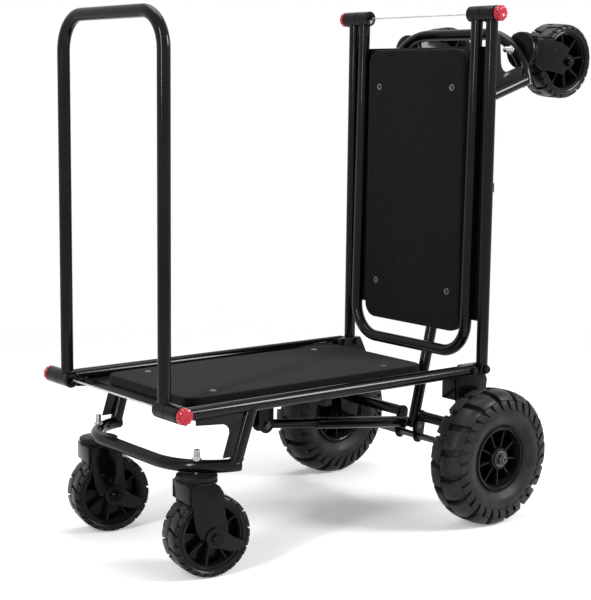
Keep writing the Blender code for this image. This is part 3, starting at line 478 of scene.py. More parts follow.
def end_tree(tree, given, leave, parts):
    """Joins the parts, makes the instances real and gives them their finish."""
    join = tree.nodes.new("GeometryNodeJoinGeometry")
    for part in parts:
        tree.links.new(part, join.inputs[0])
    real = add_node(tree, "GeometryNodeRealizeInstances", {0: join.outputs[0]})
    finish = {"Geometry": real.outputs[0], "Material": given["Finish"]}
    tree.links.new(add_node(tree, "GeometryNodeSetMaterial", finish).outputs[0], leave)


def round_tree():
    """Sets one shape at even turns about an axle through the origin."""
    sockets = (("Shape", "Object"), ("Count", "Int"), ("Start", "Float"), ("Axle", "Vector"),
               ("Finish", "Material"))
    tree, given, leave = node_tree("set_round_an_axle", sockets)
    index = tree.nodes.new("GeometryNodeInputIndex")
    step = math_node(tree, "DIVIDE", 2 * math.pi, given["Count"])
    angle = math_node(tree, "ADD", math_node(tree, "MULTIPLY", index.outputs[0], step), given["Start"])
    turn = add_node(tree, "FunctionNodeAxisAngleToRotation", {"Axis": given["Axle"], "Angle": angle})
    points = add_node(tree, "GeometryNodePoints", {"Count": given["Count"]})
    copies = instances(tree, points.outputs[0], given["Shape"], turn)
    end_tree(tree, given, leave, (given["Geometry"], copies))
    return tree


def path_tree():
    """Sets one shape at even spaces along the lines that it is given."""
    sockets = (("Shape", "Object"), ("Spacing", "Float"), ("Finish", "Material"))
    tree, given, leave = node_tree("set_along_a_line", sockets)
    line = add_node(tree, "GeometryNodeMeshToCurve", {"Mesh": given["Geometry"]})
    spaced = {"Curve": line.outputs["Curve"], "Length": given["Spacing"]}
    even = add_node(tree, "GeometryNodeResampleCurve", spaced, mode="LENGTH")
    tangent = tree.nodes.new("GeometryNodeInputTangent")
    turn = add_node(tree, "FunctionNodeAlignRotationToVector", {"Vector": tangent.outputs[0]}, axis="X")
    end_tree(tree, given, leave, (instances(tree, even.outputs["Curve"], given["Shape"], turn),))
    return tree


def grown(tree, base, shape, **values):
    """The plain mesh that a tree makes from a base mesh and the shape it repeats."""
    made = show("base", base)
    repeated = show("repeated", shape)
    modifier = made.modifiers.new("repeat", "NODES")
    modifier.node_group = tree
    values["Shape"] = repeated
    for item in tree.interface.items_tree:
        if item.in_out == "INPUT" and item.name in values:
            modifier[item.identifier] = values[item.name]
    bpy.context.view_layer.update()
    graph = bpy.context.evaluated_depsgraph_get()
    mesh = bpy.data.meshes.new_from_object(made.evaluated_get(graph))
    for thing in (made, repeated):
        bpy.data.objects.remove(thing)
    return mesh


ROUND = round_tree()
ALONG = path_tree()
AXLE_Y = (0.0, 1.0, 0.0)


# Finishes

def shader_group(name, inputs, output):
    """A group for one effect over a surface; returns it, what it is given and the socket to feed."""
    tree = bpy.data.node_groups.new(name, "ShaderNodeTree")
    for label in inputs:
        tree.interface.new_socket(label, in_out="INPUT", socket_type="NodeSocketFloat")
    tree.interface.new_socket(output, in_out="OUTPUT", socket_type="NodeSocketFloat")
    return tree, tree.nodes.new("NodeGroupInput").outputs, tree.nodes.new("NodeGroupOutput").inputs[0]


def noise(tree, scale, detail):
    """A noise in object coordinates; scale is a number or a socket."""
    place = tree.nodes.new("ShaderNodeTexCoord").outputs["Object"]
    inputs = {"Vector": place, "Scale": scale, "Detail": detail}
    return add_node(tree, "ShaderNodeTexNoise", inputs).outputs["Fac"]


def spread(tree, value, low, high, start=0.3, end=0.7):
    """The value taken from the range start to end into low to high."""
    inputs = {"Value": value, "From Min": start, "From Max": end, "To Min": low, "To Max": high}
    return add_node(tree, "ShaderNodeMapRange", inputs).outputs["Result"]


def patchy_group():
    """Roughness that wanders between two values, as on handled paint, rubber and plastic."""
    tree, given, leave = shader_group("patchy_gloss", ("Scale", "Low", "High"), "Roughness")
    tree.links.new(spread(tree, noise(tree, given["Scale"], 4.0), given["Low"], given["High"]), leave)
    return tree


def dust_group():
    """A fine film of dust that lies on what faces up."""
    tree, given, leave = shader_group("settled_dust", ("Amount", "Scale"), "Mask")
    geometry = tree.nodes.new("ShaderNodeNewGeometry")
    split = add_node(tree, "ShaderNodeSeparateXYZ", {0: geometry.outputs["Normal"]})
    facing = spread(tree, split.outputs["Z"], 0.0, 1.0, 0.25, 1.0)
    cloud = spread(tree, noise(tree, given["Scale"], 5.0), 0.35, 1.0)
    mask = math_node(tree, "MULTIPLY", facing, cloud)
    tree.links.new(math_node(tree, "MULTIPLY", mask, given["Amount"]), leave)
    return tree


def grain_group():
    """Two sizes of fine unevenness as one height."""
    tree, given, leave = shader_group("surface_grain", ("Coarse", "Fine", "Share"), "Height")
    coarse = noise(tree, given["Coarse"], 2.0)
    fine = noise(tree, given["Fine"], 2.0)
    tree.links.new(spread(tree, given["Share"], coarse, fine, 0.0, 1.0), leave)
    return tree


PATCHY = patchy_group()
DUST = dust_group()
GRAIN = grain_group()


class Finish:
    """A material with its shader, to which effects are linked."""

    def __init__(self, name, metallic=0.0, specular=0.5, coat=0.0, coat_roughness=0.05):
        self.material = bpy.data.materials.new(name)
        self.material.use_nodes = True
        self.tree = self.material.node_tree
        self.shader = self.tree.nodes["Principled BSDF"]
        self.set("Metallic", metallic)
        self.set("Specular IOR Level", specular)
        self.set("Coat Weight", coat)
        self.set("Coat Roughness", coat_roughness)

    def set(self, name, value):
        """Feeds a socket of the shader with a plain value or from another socket."""
        feed(self.tree, self.shader.inputs[name], value)

    def effect(self, group, **values):
        return add_node(self.tree, "ShaderNodeGroup", values, node_tree=group).outputs[0]

    def mix(self, factor, first, second):
        """A colour between two colours; a colour is a tuple or a socket."""
        node = add_node(self.tree, "ShaderNodeMix", {"Factor": factor}, data_type="RGBA")
        for label, colour in (("A", first), ("B", second)):
            socket = [s for s in node.inputs if s.name == label and s.type == "RGBA"][0]
            feed(self.tree, socket, (*colour, 1.0) if isinstance(colour, tuple) else colour)
        return [s for s in node.outputs if s.type == "RGBA"][0]

    def clouded(self, scale, detail, dark, light):
        """A colour that drifts between two."""
        return self.mix(spread(self.tree, noise(self.tree, scale, detail), 0.0, 1.0), dark, light)

    def dusted(self, colour, amount, scale):
        return self.mix(self.effect(DUST, Amount=amount, Scale=scale), colour, DUST_COLOUR)

    def bump(self, height, distance):
        inputs = {"Strength": 1.0, "Distance": distance, "Height": height}
        self.set("Normal", add_node(self.tree, "ShaderNodeBump", inputs).outputs["Normal"])

    def skin(self, rough, patches, grain, height):
        """Patchy gloss between two roughnesses, and a grain of two sizes and the share of the finer."""
        self.set("Roughness", self.effect(PATCHY, Scale=patches, Low=rough[0], High=rough[1]))
        self.bump(self.effect(GRAIN, Coarse=grain[0], Fine=grain[1], Share=grain[2]), height)


DUST_COLOUR = (0.12, 0.117, 0.113)


def painted(name, dark, light, rough, dust, grain=0.000004, specular=0.06, coat=0.12):
    """Powder-coated or moulded black: slight colour drift, patchy gloss, dust and a fine skin."""
    finish = Finish(name, specular=specular, coat=coat, coat_roughness=0.10)
    finish.set("Base Color", finish.dusted(finish.clouded(9.0, 4.0, dark, light), dust, 60.0))
    finish.skin(rough, 16.0, (260.0, 1500.0, 0.4), grain)
    return finish.material


def carpet():
    """Short looped pile: clumped tufts with the odd lighter fibre, and painted shade in the hollows between
    the tufts.
    """
    finish = Finish("carpet", specular=0.1)
    tree = finish.tree
    place = tree.nodes.new("ShaderNodeTexCoord").outputs["Object"]
    tufts = add_node(tree, "ShaderNodeTexVoronoi", {"Vector": place, "Scale": 420.0}).outputs["Distance"]
    # Painted shade: the pile colour darkens away from each tuft's centre, into the hollows between the tufts
    hollow_shade = spread(tree, tufts, 0.0, 1.0, 0.1, 0.75)
    pile = finish.mix(hollow_shade, (0.0075, 0.0075, 0.0090), (0.0014, 0.0014, 0.0018))
    clumps = spread(tree, noise(tree, 55.0, 5.0), 0.0, 0.7)
    shaded = finish.mix(clumps, pile, (0.0042, 0.0042, 0.0052))
    flecks = spread(tree, noise(tree, 700.0, 1.0), 0.0, 0.55, 0.60, 0.75)
    finish.set("Base Color", finish.mix(flecks, shaded, (0.026, 0.026, 0.030)))
    finish.set("Roughness", 0.95)
    finish.set("Sheen Weight", 0.05)
    finish.bump(math_node(tree, "SUBTRACT", noise(tree, 90.0, 3.0), tufts), 0.0014)
    return finish.material


def rubber(name, dark, light, rough):
    """Tyre rubber: greyed by handling, with a dry bloom and moulding grain."""
    finish = Finish(name, specular=0.18)
    finish.set("Base Color", finish.dusted(finish.clouded(26.0, 6.0, dark, light), 0.07, 90.0))
    finish.skin(rough, 35.0, (180.0, 1100.0, 0.5), 0.00016)
    return finish.material


def plated(name, low, high, rough, metallic=1.0):
    """Zinc-plated steel with small dull patches."""
    finish = Finish(name, metallic=metallic)
    finish.set("Base Color", finish.clouded(70.0, 5.0, low, high))
    finish.skin(rough, 140.0, (500.0, 2500.0, 0.5), 0.000008)
    return finish.material


def red_cap():
    """Clear red plastic with small clouds in its colour."""
    finish = Finish("red_caps", specular=0.30, coat=0.20)
    finish.set("Base Color", finish.clouded(150.0, 3.0, (0.30, 0.003, 0.012), (0.48, 0.008, 0.028)))
    finish.set("Subsurface Weight", 0.10)
    finish.set("Subsurface Radius", (0.012, 0.001, 0.001))
    finish.set("Subsurface Scale", 1.0)
    finish.skin((0.12, 0.24), 90.0, (300.0, 1200.0, 0.3), 0.00002)
    return finish.material


FINISHES = {
    "tube": painted("tube_enamel", (0.0018, 0.0018, 0.0024), (0.0042, 0.0042, 0.0052), (0.13, 0.20), 0.008,
                    coat=0.22),
    "sheet": painted("sheet_enamel", (0.0035, 0.0035, 0.0042), (0.008, 0.008, 0.009), (0.34, 0.48), 0.03),
    "fork": painted("fork_enamel", (0.0014, 0.0014, 0.0017), (0.0034, 0.0034, 0.0040), (0.12, 0.20), 0.006,
                    0.000008, coat=0.14),
    "lever": painted("lever_steel", (0.0040, 0.0040, 0.0045), (0.010, 0.010, 0.011), (0.24, 0.36), 0.015),
    "bolt": painted("black_bolts", (0.005, 0.005, 0.006), (0.014, 0.014, 0.015), (0.18, 0.30), 0.01,
                    specular=0.4),
    "rim": painted("rim_plastic", (0.0035, 0.0035, 0.0040), (0.008, 0.008, 0.009), (0.16, 0.28), 0.02),
    "plug": painted("plug_plastic", (0.004, 0.004, 0.0045), (0.009, 0.009, 0.010), (0.45, 0.60), 0.03),
    "tyre": rubber("tyre_rubber", (0.004, 0.004, 0.005), (0.018, 0.018, 0.022), (0.34, 0.56)),
    "tread": rubber("caster_rubber", (0.0030, 0.0030, 0.0036), (0.009, 0.009, 0.011), (0.26, 0.42)),
    "carpet": carpet(),
    "zinc": plated("zinc_plating", (0.42, 0.42, 0.43), (0.62, 0.62, 0.63), (0.20, 0.38)),
    "dull": plated("dull_zinc", (0.055, 0.054, 0.056), (0.12, 0.117, 0.12), (0.30, 0.46)),
    "ring": plated("washer_zinc", (0.18, 0.18, 0.185), (0.32, 0.32, 0.33), (0.25, 0.42)),
    "rope": plated("wire_rope", (0.50, 0.50, 0.51), (0.72, 0.72, 0.73), (0.26, 0.40), 0.75),
    "red": red_cap(),
}


# Fasteners

def hex_bolt(bm, y, radius, height, washer, shank_r):
    """Hex head on a washer, on +y, with its chamfered corners and a shank that goes in."""
    turned(bm, (
        (y + height, radius * 0.78),
        (y + height - radius * 0.10, radius * 0.86, 6),
        (y + height - radius * 0.22, radius, 6),
        (y + 0.0017, radius, 6),
        (y + 0.0017, washer - 0.0003),
        (y + 0.0013, washer),
        (y + 0.0002, washer),
        (y, washer - 0.0002),
        (y, shank_r),
        (y - 0.004, shank_r),
    ), BOLT_SIDES * 2)


def threaded_end(bm, low, high, radius, pitch):
    """Bolt end with its thread, along y from low to high."""
    sections = [(low, radius * 0.9)]
    count = max(2, int((high - low - 0.001) / pitch))
    for k in range(count):
        start = low + (high - low - 0.001) * k / count
        sections += [(start + pitch * 0.15, radius * 0.88), (start + pitch * 0.6, radius)]
    sections += [(high - 0.0008, radius * 0.92), (high, radius * 0.7)]
    turned(bm, sections, BOLT_SIDES)


def dome(bm, x, y, z, radius, height, side):
    """Rivet head on a side plate, standing out along side * y."""
    rows = 4
    sections = [(y - side * 0.001, radius)]
    for k in range(rows):
        angle = math.pi / 2 * k / rows
        sections.append((y + side * height * math.sin(angle), radius * math.cos(angle) + 0.00002))
    turned(bm, sections, DOME_SIDES, centre=(x, 0, z))


# Welds

WELD_SPACING = 0.0021
WELD_BITE = 0.0004


def bead():
    """One flattened drop of weld metal."""
    rows = ((-0.0019, 0.0004), (-0.0013, 0.0014), (0.0, 0.0019), (0.0013, 0.0014), (0.0019, 0.0004))
    return Shape().turn(rows, BEAD_SIDES, axis="X").mesh("bead")


def saddle(origin, along, across, branch_r, main_r):
    """The line where a branch tube that leaves along one way meets a main tube that lies across."""
    along = Vector(along).normalized()
    across = Vector(across).normalized()
    third = along.cross(across)
    points = []
    for k in range(WELD_POINTS):
        angle = 2 * math.pi * k / WELD_POINTS
        out = branch_r * math.sin(angle)
        reach = math.sqrt(max(main_r ** 2 - out ** 2, (0.35 * main_r) ** 2)) - WELD_BITE
        points.append(Vector(origin) + across * (branch_r * math.cos(angle)) + third * out + along * reach)
    return points


def weld(loops):
    """Beads of weld along closed loops."""
    lines = bpy.data.meshes.new("weld_lines")
    points, edges = [], []
    for loop in loops:
        start = len(points)
        points += [tuple(p) for p in loop]
        edges += [(start + k, start + (k + 1) % len(loop)) for k in range(len(loop))]
    lines.from_pydata(points, edges, [])
    return grown(ALONG, lines, bead(), Spacing=WELD_SPACING, Finish=FINISHES["tube"])


# Half frame

def side_tube(bm, side):
    turned(bm, (
        (-TUBE_END, TUBE_R - 0.0035),
        (-TUBE_END + 0.0008, TUBE_R - 0.0018),
        (-TUBE_END + 0.0030, TUBE_R),
        (HALF_LENGTH, TUBE_R),
    ), TUBE_SIDES, "X", (0, side * SIDE_TUBE_Y, 0))


def corner_socket(bm, side):
    y0, y1 = side * (CORNER_SPLIT_Y + GAP), side * CORNER_OUTER_Y
    inset = side * 0.0012
    turned(bm, (
        (y0, LOCK_STEM_R + 0.0005),
        (y0, CORNER_ROUND_R - 0.0012),
        (y0 + inset, CORNER_ROUND_R),
        (y1 - inset, CORNER_ROUND_R),
        (y1, CORNER_ROUND_R - 0.0012),
        (y1, LOCK_STEM_R + 0.0005),
    ), CORNER_SIDES, centre=(HALF_LENGTH, 0, CORNER_LIFT), ring=True)


def tray(bm):
    block(bm, (TRAY_START, -SIDE_TUBE_Y, TRAY_UNDER), (TRAY_END, SIDE_TUBE_Y, TRAY_TOP))


def tray_lip(bm, x, depth):
    block(bm, (x, -LEG_INNER_Y, TRAY_UNDER - depth), (x + TRAY_SHEET, LEG_INNER_Y, TRAY_TOP - 0.0003))


def bracket_rail(bm):
    half = SIDE_TUBE_Y - TUBE_R / 2
    low = (BRACKET_X - RAIL_HALF_WIDTH, -half, TRAY_UNDER - RAIL_HEIGHT)
    block(bm, low, (BRACKET_X + RAIL_HALF_WIDTH, half, TRAY_UNDER + TRAY_SHEET / 2))


def bracket_cheek(bm, y, side):
    outline = arc((BRACKET_X, -BRACKET_DROP), BRACKET_HALF_WIDTH, 180, 360, 16)
    root = TRAY_UNDER - RAIL_HEIGHT / 2
    outline += [(BRACKET_X + BRACKET_HALF_WIDTH, root), (BRACKET_X - BRACKET_HALF_WIDTH, root)]
    edges = sorted((y + side * BRACKET_INNER, y + side * (BRACKET_INNER + BRACKET_SHEET)))
    prism(bm, outline, *edges)


def deck_frame(half):
    y = NEAR_SIDE[half] * -STRUT_Y[half]
    tubes, sheet, bolts = Shape(), Shape(), Shape()
    seams = []
    for side in (-1, 1):
        tubes.add(side_tube, side).add(corner_socket, side)
        socket = (HALF_LENGTH, side * SIDE_TUBE_Y, CORNER_LIFT)
        seams.append(saddle(socket, (-1, 0, 0), (0, 1, 0), TUBE_R, CORNER_ROUND_R))
        sheet.add(bracket_cheek, y, side, edge=0.0008)
        turn = Matrix.Translation((BRACKET_X, y, -BRACKET_DROP)) @ half_turn(side)
        bolts.add(hex_bolt, BRACKET_INNER + BRACKET_SHEET, *HEADS["strut eye"], STRUT_BOLT_R, at=turn)
    tubes.add_mesh(weld(seams))
    sheet.add(tray, edge=0.0004)
    for x, depth in TRAY_LIPS:
        sheet.add(tray_lip, x, depth, edge=0.0006)
    sheet.add(bracket_rail, edge=0.0012)
    half_piece(half, "side_tubes", tubes, "tube", ENAMEL, "deck_frame")
    half_piece(half, "tray", sheet, "sheet", ENAMEL)
    half_piece(half, "strut_eye_bolt", bolts, "bolt", ENAMEL)


def board_outline(inset=0.0):
    r = BOARD_CORNER_R - inset
    end, start, half = BOARD_END - inset, BOARD_START + inset, BOARD_HALF_WIDTH - inset
    outline = []
    corners = ((end - r, half - r), (start + r, half - r), (start + r, r - half), (end - r, r - half))
    for k, corner in enumerate(corners):
        outline += arc(corner, r, 90 * k, 90 * k + 90, 12)
    return outline


def board(bm):
    """Carpet-covered board: level top, rolled edge and a slight tuck underneath."""
    rows = ((BOARD_TOP - BOARD_THICKNESS, 0.0035), (BOARD_TOP - BOARD_THICKNESS + 0.0012, 0.0008),
            (BOARD_TOP - 0.0085, 0.0), (BOARD_TOP - 0.0035, 0.0004), (BOARD_TOP - 0.0012, 0.0016),
            (BOARD_TOP - 0.0002, 0.0038), (BOARD_TOP, 0.0075))
    rings = []
    for z, inset in rows:
        rings.append([bm.verts.new((x, y, z)) for x, y in board_outline(inset)])
    loft(bm, rings)


def ring_washer(bm, x, y):
    """Finishing washer: a rolled ring pressed into the carpet."""
    z = BOARD_TOP - 0.0009
    turned(bm, (
        (z - 0.0018, 0.0070), (z + 0.0004, 0.0073), (z + 0.0010, 0.0068), (z + 0.0012, 0.0060),
        (z + 0.0007, 0.0050), (z - 0.0018, 0.0046),
    ), RING_SIDES, "Z", (x, y, 0), True)


def socket_screw(bm, x, y):
    """Sunk screw head with a hexagonal socket."""
    z = BOARD_TOP - 0.0015
    turned(bm, (
        (z - 0.016, SCREW_R * 0.95), (z - 0.0015, SCREW_R), (z + 0.0004, 0.0050), (z + 0.0016, 0.0048),
        (z + 0.0017, 0.0034), (z + 0.0017, 0.0022, 6), (z + 0.0002, 0.0021, 6),
    ), BOLT_SIDES, "Z", (x, y, 0))


def nut_strip(bm, x):
    top = TRAY_UNDER - GAP
    reach = SCREW_Y + 0.0075
    block(bm, (x - 0.0075, -reach, top - 0.003), (x + 0.0075, reach, top))


def deck(half):
    half_piece(half, "carpet_board", Shape().add(board), "carpet", CARPET, "deck_board")
    for label, x in SCREW_PLACES.items():
        rings, heads = Shape(), Shape().add(nut_strip, x, edge=0.0004)
        for y in (-SCREW_Y, SCREW_Y):
            rings.add(ring_washer, x, y)
            heads.add(socket_screw, x, y)
        half_piece(half, "washers_" + label, rings, "ring", ZINC, "deck_screws_" + label)
        half_piece(half, "screws_" + label, heads, "bolt", ZINC)


def caster_tube(bm):
    start = math.asin((SUBFRAME_ARM_END - BEND_CENTRE_X) / SUBFRAME_BEND_R)
    near = []
    for k in range(BEND_STEPS + 1):
        angle = start + (math.pi / 2 - start) * k / BEND_STEPS
        x = BEND_CENTRE_X + SUBFRAME_BEND_R * math.sin(angle)
        near.append((x, -BEND_CENTRE_Y - SUBFRAME_BEND_R * math.cos(angle), -SUBFRAME_DROP))
    far = [(x, -y, z) for x, y, z in near]
    sweep(bm, near + far[::-1], (0, 0, 1), TUBE_R, TUBE_SIDES)


def leg_centre(z):
    return LEG_TOP_X + (LEG_FOOT_X - LEG_TOP_X) * -z / SUBFRAME_DROP


def foot_y():
    angle = math.asin((LEG_FOOT_X - BEND_CENTRE_X) / SUBFRAME_BEND_R)
    return BEND_CENTRE_Y + SUBFRAME_BEND_R * math.cos(angle)


def subframe_leg(bm, side):
    top = (leg_centre(-GAP), side * SIDE_TUBE_Y, -TUBE_R * 0.4)
    sweep(bm, (top, (LEG_FOOT_X, side * foot_y(), -SUBFRAME_DROP)), (0, 1, 0), TUBE_R, TUBE_SIDES)


def gusset(bm, side):
    """L-shaped plate in the corner between a leg and its side tube, with a rounded inner corner."""
    top = -TUBE_R * 0.6
    bottom = -TUBE_R - GUSSET_DEPTH
    inside = -TUBE_R - GUSSET_INNER_DEPTH
    edge = leg_centre(inside) + GUSSET_WIDTH
    outline = [(leg_centre(top), top), (GUSSET_END, top), (GUSSET_END, -TUBE_R - GUSSET_END_DEPTH)]
    for x, z in ((0.016, 0.017), (0.009, 0.014), (0.004, 0.010), (0.001, 0.005), (0.0, -0.002)):
        outline.append((edge + x, inside + z))
    outline += [(leg_centre(bottom) + GUSSET_WIDTH, bottom), (leg_centre(bottom), bottom)]
    y = side * SIDE_TUBE_Y
    prism(bm, outline, y - GUSSET_SHEET / 2, y + GUSSET_SHEET / 2)


def subframe(half):
    tubes, plates = Shape().add(caster_tube), Shape()
    seams = []
    for side in (-1, 1):
        tubes.add(subframe_leg, side)
        plates.add(gusset, side, edge=0.0009)
        top = Vector((leg_centre(0), side * SIDE_TUBE_Y, 0))
        foot = Vector((LEG_FOOT_X, side * foot_y(), -SUBFRAME_DROP))
        seams.append(saddle(top, foot - top, (1, 0, 0), TUBE_R, TUBE_R))
        seams.append(saddle(foot, top - foot, (0.85, -side * 0.5, 0), TUBE_R, TUBE_R))
    tubes.add_mesh(weld(seams))
    half_piece(half, "caster_tube", tubes, "tube", ENAMEL, "subframe")
    half_piece(half, "gussets", plates, "tube", ENAMEL)


# Handle

def handle_loop(bm):
    r = HANDLE_BEND_R
    bar = HANDLE_LENGTH - r
    near = arc((bar, r - HANDLE_Y), r, 270, 360, BEND_STEPS)
    far = arc((bar, HANDLE_Y - r), r, 0, 90, BEND_STEPS)
    flat = [(0, -HANDLE_Y)] + near + far + [(0, HANDLE_Y)]
    sweep(bm, [(x, y, 0) for x, y in flat], (0, 0, 1), TUBE_R, TUBE_SIDES)


def sleeve(bm, side):
    """Corner sleeve with a chamfered outer end and a plugged inner end that the wire comes out of."""
    inner, outer = side * CORNER_INNER_Y, side * (CORNER_SPLIT_Y - GAP)
    turned(bm, (
        (inner + side * 0.0020, 0.0035),
        (inner + side * 0.0008, 0.0060),
        (inner + side * 0.0008, CORNER_ROUND_R - 0.0030),
        (inner, CORNER_ROUND_R - 0.0026),
        (inner, CORNER_ROUND_R - 0.0010),
        (inner + side * 0.0010, CORNER_ROUND_R),
        (outer - side * 0.0010, CORNER_ROUND_R),
        (outer, CORNER_ROUND_R - 0.0010),
    ), CORNER_SIDES)


def wire_rope(bm):
    end = CORNER_INNER_Y - GAP
    path = [(0, -end + 2 * end * k / ROPE_STEPS, 0) for k in range(ROPE_STEPS + 1)]
    sweep(bm, path, (0, 0, 1), ROPE_R, ROPE_SIDES, ROPE_STRANDS, ROPE_TWIST)


def ferrule(bm, side):
    end = CORNER_INNER_Y - GAP
    turned(bm, (
        (side * end, FERRULE_R - 0.0004),
        (side * (end - 0.0006), FERRULE_R),
        (side * (end - FERRULE_LENGTH + 0.0015), FERRULE_R),
        (side * (end - FERRULE_LENGTH), WIRE_R + 0.0003),
    ), FERRULE_SIDES)


def push_cap(bm):
    """Round red cap, ribbed round its rim, with a low star of facets on its face."""
    face = CAP_SKIRT_Y + CAP_LENGTH
    rows = ((CAP_SKIRT_Y, 0.94, 0.0), (CAP_SKIRT_Y + 0.0008, 1.0, 0.02), (face - 0.0044, 1.0, 0.06),
            (face - 0.0020, 0.93, 0.10), (face - 0.0004, 0.74, 0.09), (face, 0.48, 0.03),
            (face - 0.0011, 0.20, 0.0))
    rings = []
    for y, share, depth in rows:
        corners = []
        for k in range(CAP_SIDES):
            angle = 2 * math.pi * k / CAP_SIDES
            radius = CORNER_ROUND_R * share * (1 - depth * (0.5 + 0.5 * math.cos(CAP_RIBS * angle)))
            corners.append(bm.verts.new(ring_point("Y", (0, 0, 0), y, radius, angle)))
        rings.append(corners)
    loft(bm, rings)


def lock_stem(bm):
    ends = ((LOCK_STEM_TIP_Y, LOCK_STEM_R - 0.0008), (LOCK_STEM_TIP_Y + 0.0012, LOCK_STEM_R))
    turned(bm, (*ends, (CAP_SKIRT_Y + 0.001, LOCK_STEM_R)), CORNER_SIDES)


def handle(half):
    loop, seams = Shape().add(handle_loop), []
    for side in (-1, 1):
        loop.add(sleeve, side).add(ferrule, side)
        seams.append(saddle((0, side * HANDLE_Y, 0), (1, 0, 0), (0, 1, 0), TUBE_R, CORNER_ROUND_R))
    loop.add_mesh(weld(seams))
    wire = Shape().add(wire_rope).mesh("wire")
    at, body = HANDLES[half], half + "_handle_loop"
    piece(half + "_loop", loop.mesh("loop"), at, "tube", body, [half + "_handle"])
    piece(half + "_wire_rope", wire, at, "rope", body, [half + "_release_wire"])
    cap = Shape().add(push_cap).add(lock_stem).mesh("cap")
    for label, side in half_sides(half):
        at = HALVES[half] @ JOINT_CENTRE @ half_turn(side)
        piece(f"{half}_cap_{label}", cap, at, "red", f"{half}_{label}_button",
              [f"{half}_button_{label}"], FACET_ANGLE)


# Wheels

def tread_block(bm, line, depth, middle, half_angle, sweep_angle, slope):
    """One block of tread over a line of (y, r) points; slope narrows its top against its foot."""
    count = len(line)
    rows = []
    for i, (y, r) in enumerate(line):
        share = i / (count - 1)
        centre = middle + sweep_angle * share * share
        before, after = line[max(i - 1, 0)], line[min(i + 1, count - 1)]
        dy, dr = after[0] - before[0], after[1] - before[1]
        length = math.hypot(dy, dr) or 1.0
        inward = (dr / length, -dy / length) if dy >= 0 else (-dr / length, dy / length)
        low = (y + inward[0] * depth, r + inward[1] * depth)
        row = []
        for height, width in (((y, r), half_angle - slope / r), (low, half_angle)):
            for k in (-1, 0, 1):
                row.append(bm.verts.new(ring_point("Y", (0, 0, 0), height[0], height[1], centre + k * width)))
        rows.append([row[0], row[1], row[2], row[5], row[4], row[3]])
    loft(bm, rows)


def mirrored(line):
    return [(-y, r) for y, r in line]


def tyre(carcass, crown, shoulder, count, depth, lean, groove, finish):
    """A tyre whose two rows of crown blocks alternate and break into pairs over the shoulders."""
    outer = softened(carcass)
    loop = outer + mirrored(outer)[::-1]
    base = Shape().turn(loop, WHEEL_SIDES, ring=True).mesh("carcass")
    pitch = 2 * math.pi / count
    for side, start in ((1, 0.0), (-1, pitch / 2)):
        turn = (lambda line: line) if side > 0 else mirrored
        lug = Shape()
        half = (pitch - groove) / 2
        lug.add(tread_block, turn(crown), depth, 0.0, half, lean, 0.0010, edge=0.0006, steps=2)
        for offset in (-0.25, 0.25):
            middle = lean + pitch * offset
            half = pitch * 0.25 - groove * 0.32
            lug.add(tread_block, turn(shoulder), depth, middle, half, lean, 0.0006, edge=0.0006, steps=1)
        base = grown(ROUND, base, lug.mesh("lug"), Count=count, Start=start, Axle=AXLE_Y, Finish=finish)
    return base


def caster_tyre():
    carcass = [(0.0, CASTER_R - 0.0043), (0.020, CASTER_R - 0.0045), (0.0285, CASTER_R - 0.0062),
               (0.0322, CASTER_R - 0.0095), (0.0328, CASTER_RIM_R + 0.0022), (0.0318, CASTER_RIM_R + 0.0006),
               (0.0300, CASTER_RIM_R - 0.0020)]
    crown = [(0.0012, CASTER_R), (0.010, CASTER_R), (0.018, CASTER_R - 0.0001), (0.0255, CASTER_R - 0.0006)]
    shoulder = [(0.0268, CASTER_R - 0.0008), (0.0305, CASTER_R - 0.0024), (0.0330, CASTER_R - 0.0058),
                (0.0334, CASTER_R - 0.0090)]
    return tyre(carcass, crown, shoulder, *CASTER_TREAD, FINISHES["tread"])


def rear_tyre():
    carcass = [(0.0, REAR_R - 0.0110), (0.018, REAR_R - 0.0115), (0.030, REAR_R - 0.0150),
               (0.0375, REAR_R - 0.0225), (0.0425, REAR_R - 0.0310), (0.0456, REAR_R - 0.0400),
               (0.0466, REAR_R - 0.0490), (0.0450, REAR_R - 0.0580), (0.0405, REAR_R - 0.0660),
               (0.0362, REAR_RIM_R + 0.0030), (0.0345, REAR_RIM_R + 0.0012), (0.0320, REAR_RIM_R - 0.0050)]
    crown = [(0.0012, REAR_R), (0.010, REAR_R), (0.019, REAR_R - 0.0006), (0.0275, REAR_R - 0.0026),
             (0.0335, REAR_R - 0.0064), (0.0390, REAR_R - 0.0120), (0.0425, REAR_R - 0.0180)]
    shoulder = [(0.0430, REAR_R - 0.0190), (0.0455, REAR_R - 0.0250), (0.0472, REAR_R - 0.0320),
                (0.0476, REAR_R - 0.0390)]
    return tyre(carcass, crown, shoulder, *REAR_TREAD, FINISHES["tyre"])


def spoke(bm, hub_r, wall_r, hub_y, wall_y, thickness):
    """A radial rib that spans both faces of the rim's web."""
    outline = [(hub_r, -hub_y), (hub_r, hub_y), (wall_r, wall_y), (wall_r, -wall_y)]
    half = thickness / 2
    loft(bm, [[bm.verts.new((x, y, z)) for x, y in outline] for z in (-half, half)])


def spoked(bands, ribs, count, finish):
    """Turned bands of a rim with its spokes."""
    base = Shape()
    for loop, edge in bands:
        base.turn(loop, WHEEL_SIDES, ring=True, edge=edge)
    rib = Shape().add(spoke, *ribs, edge=0.0005, steps=1).mesh("rib")
    return grown(ROUND, base.mesh("bands"), rib, Count=count, Start=0.2, Axle=AXLE_Y, Finish=finish)


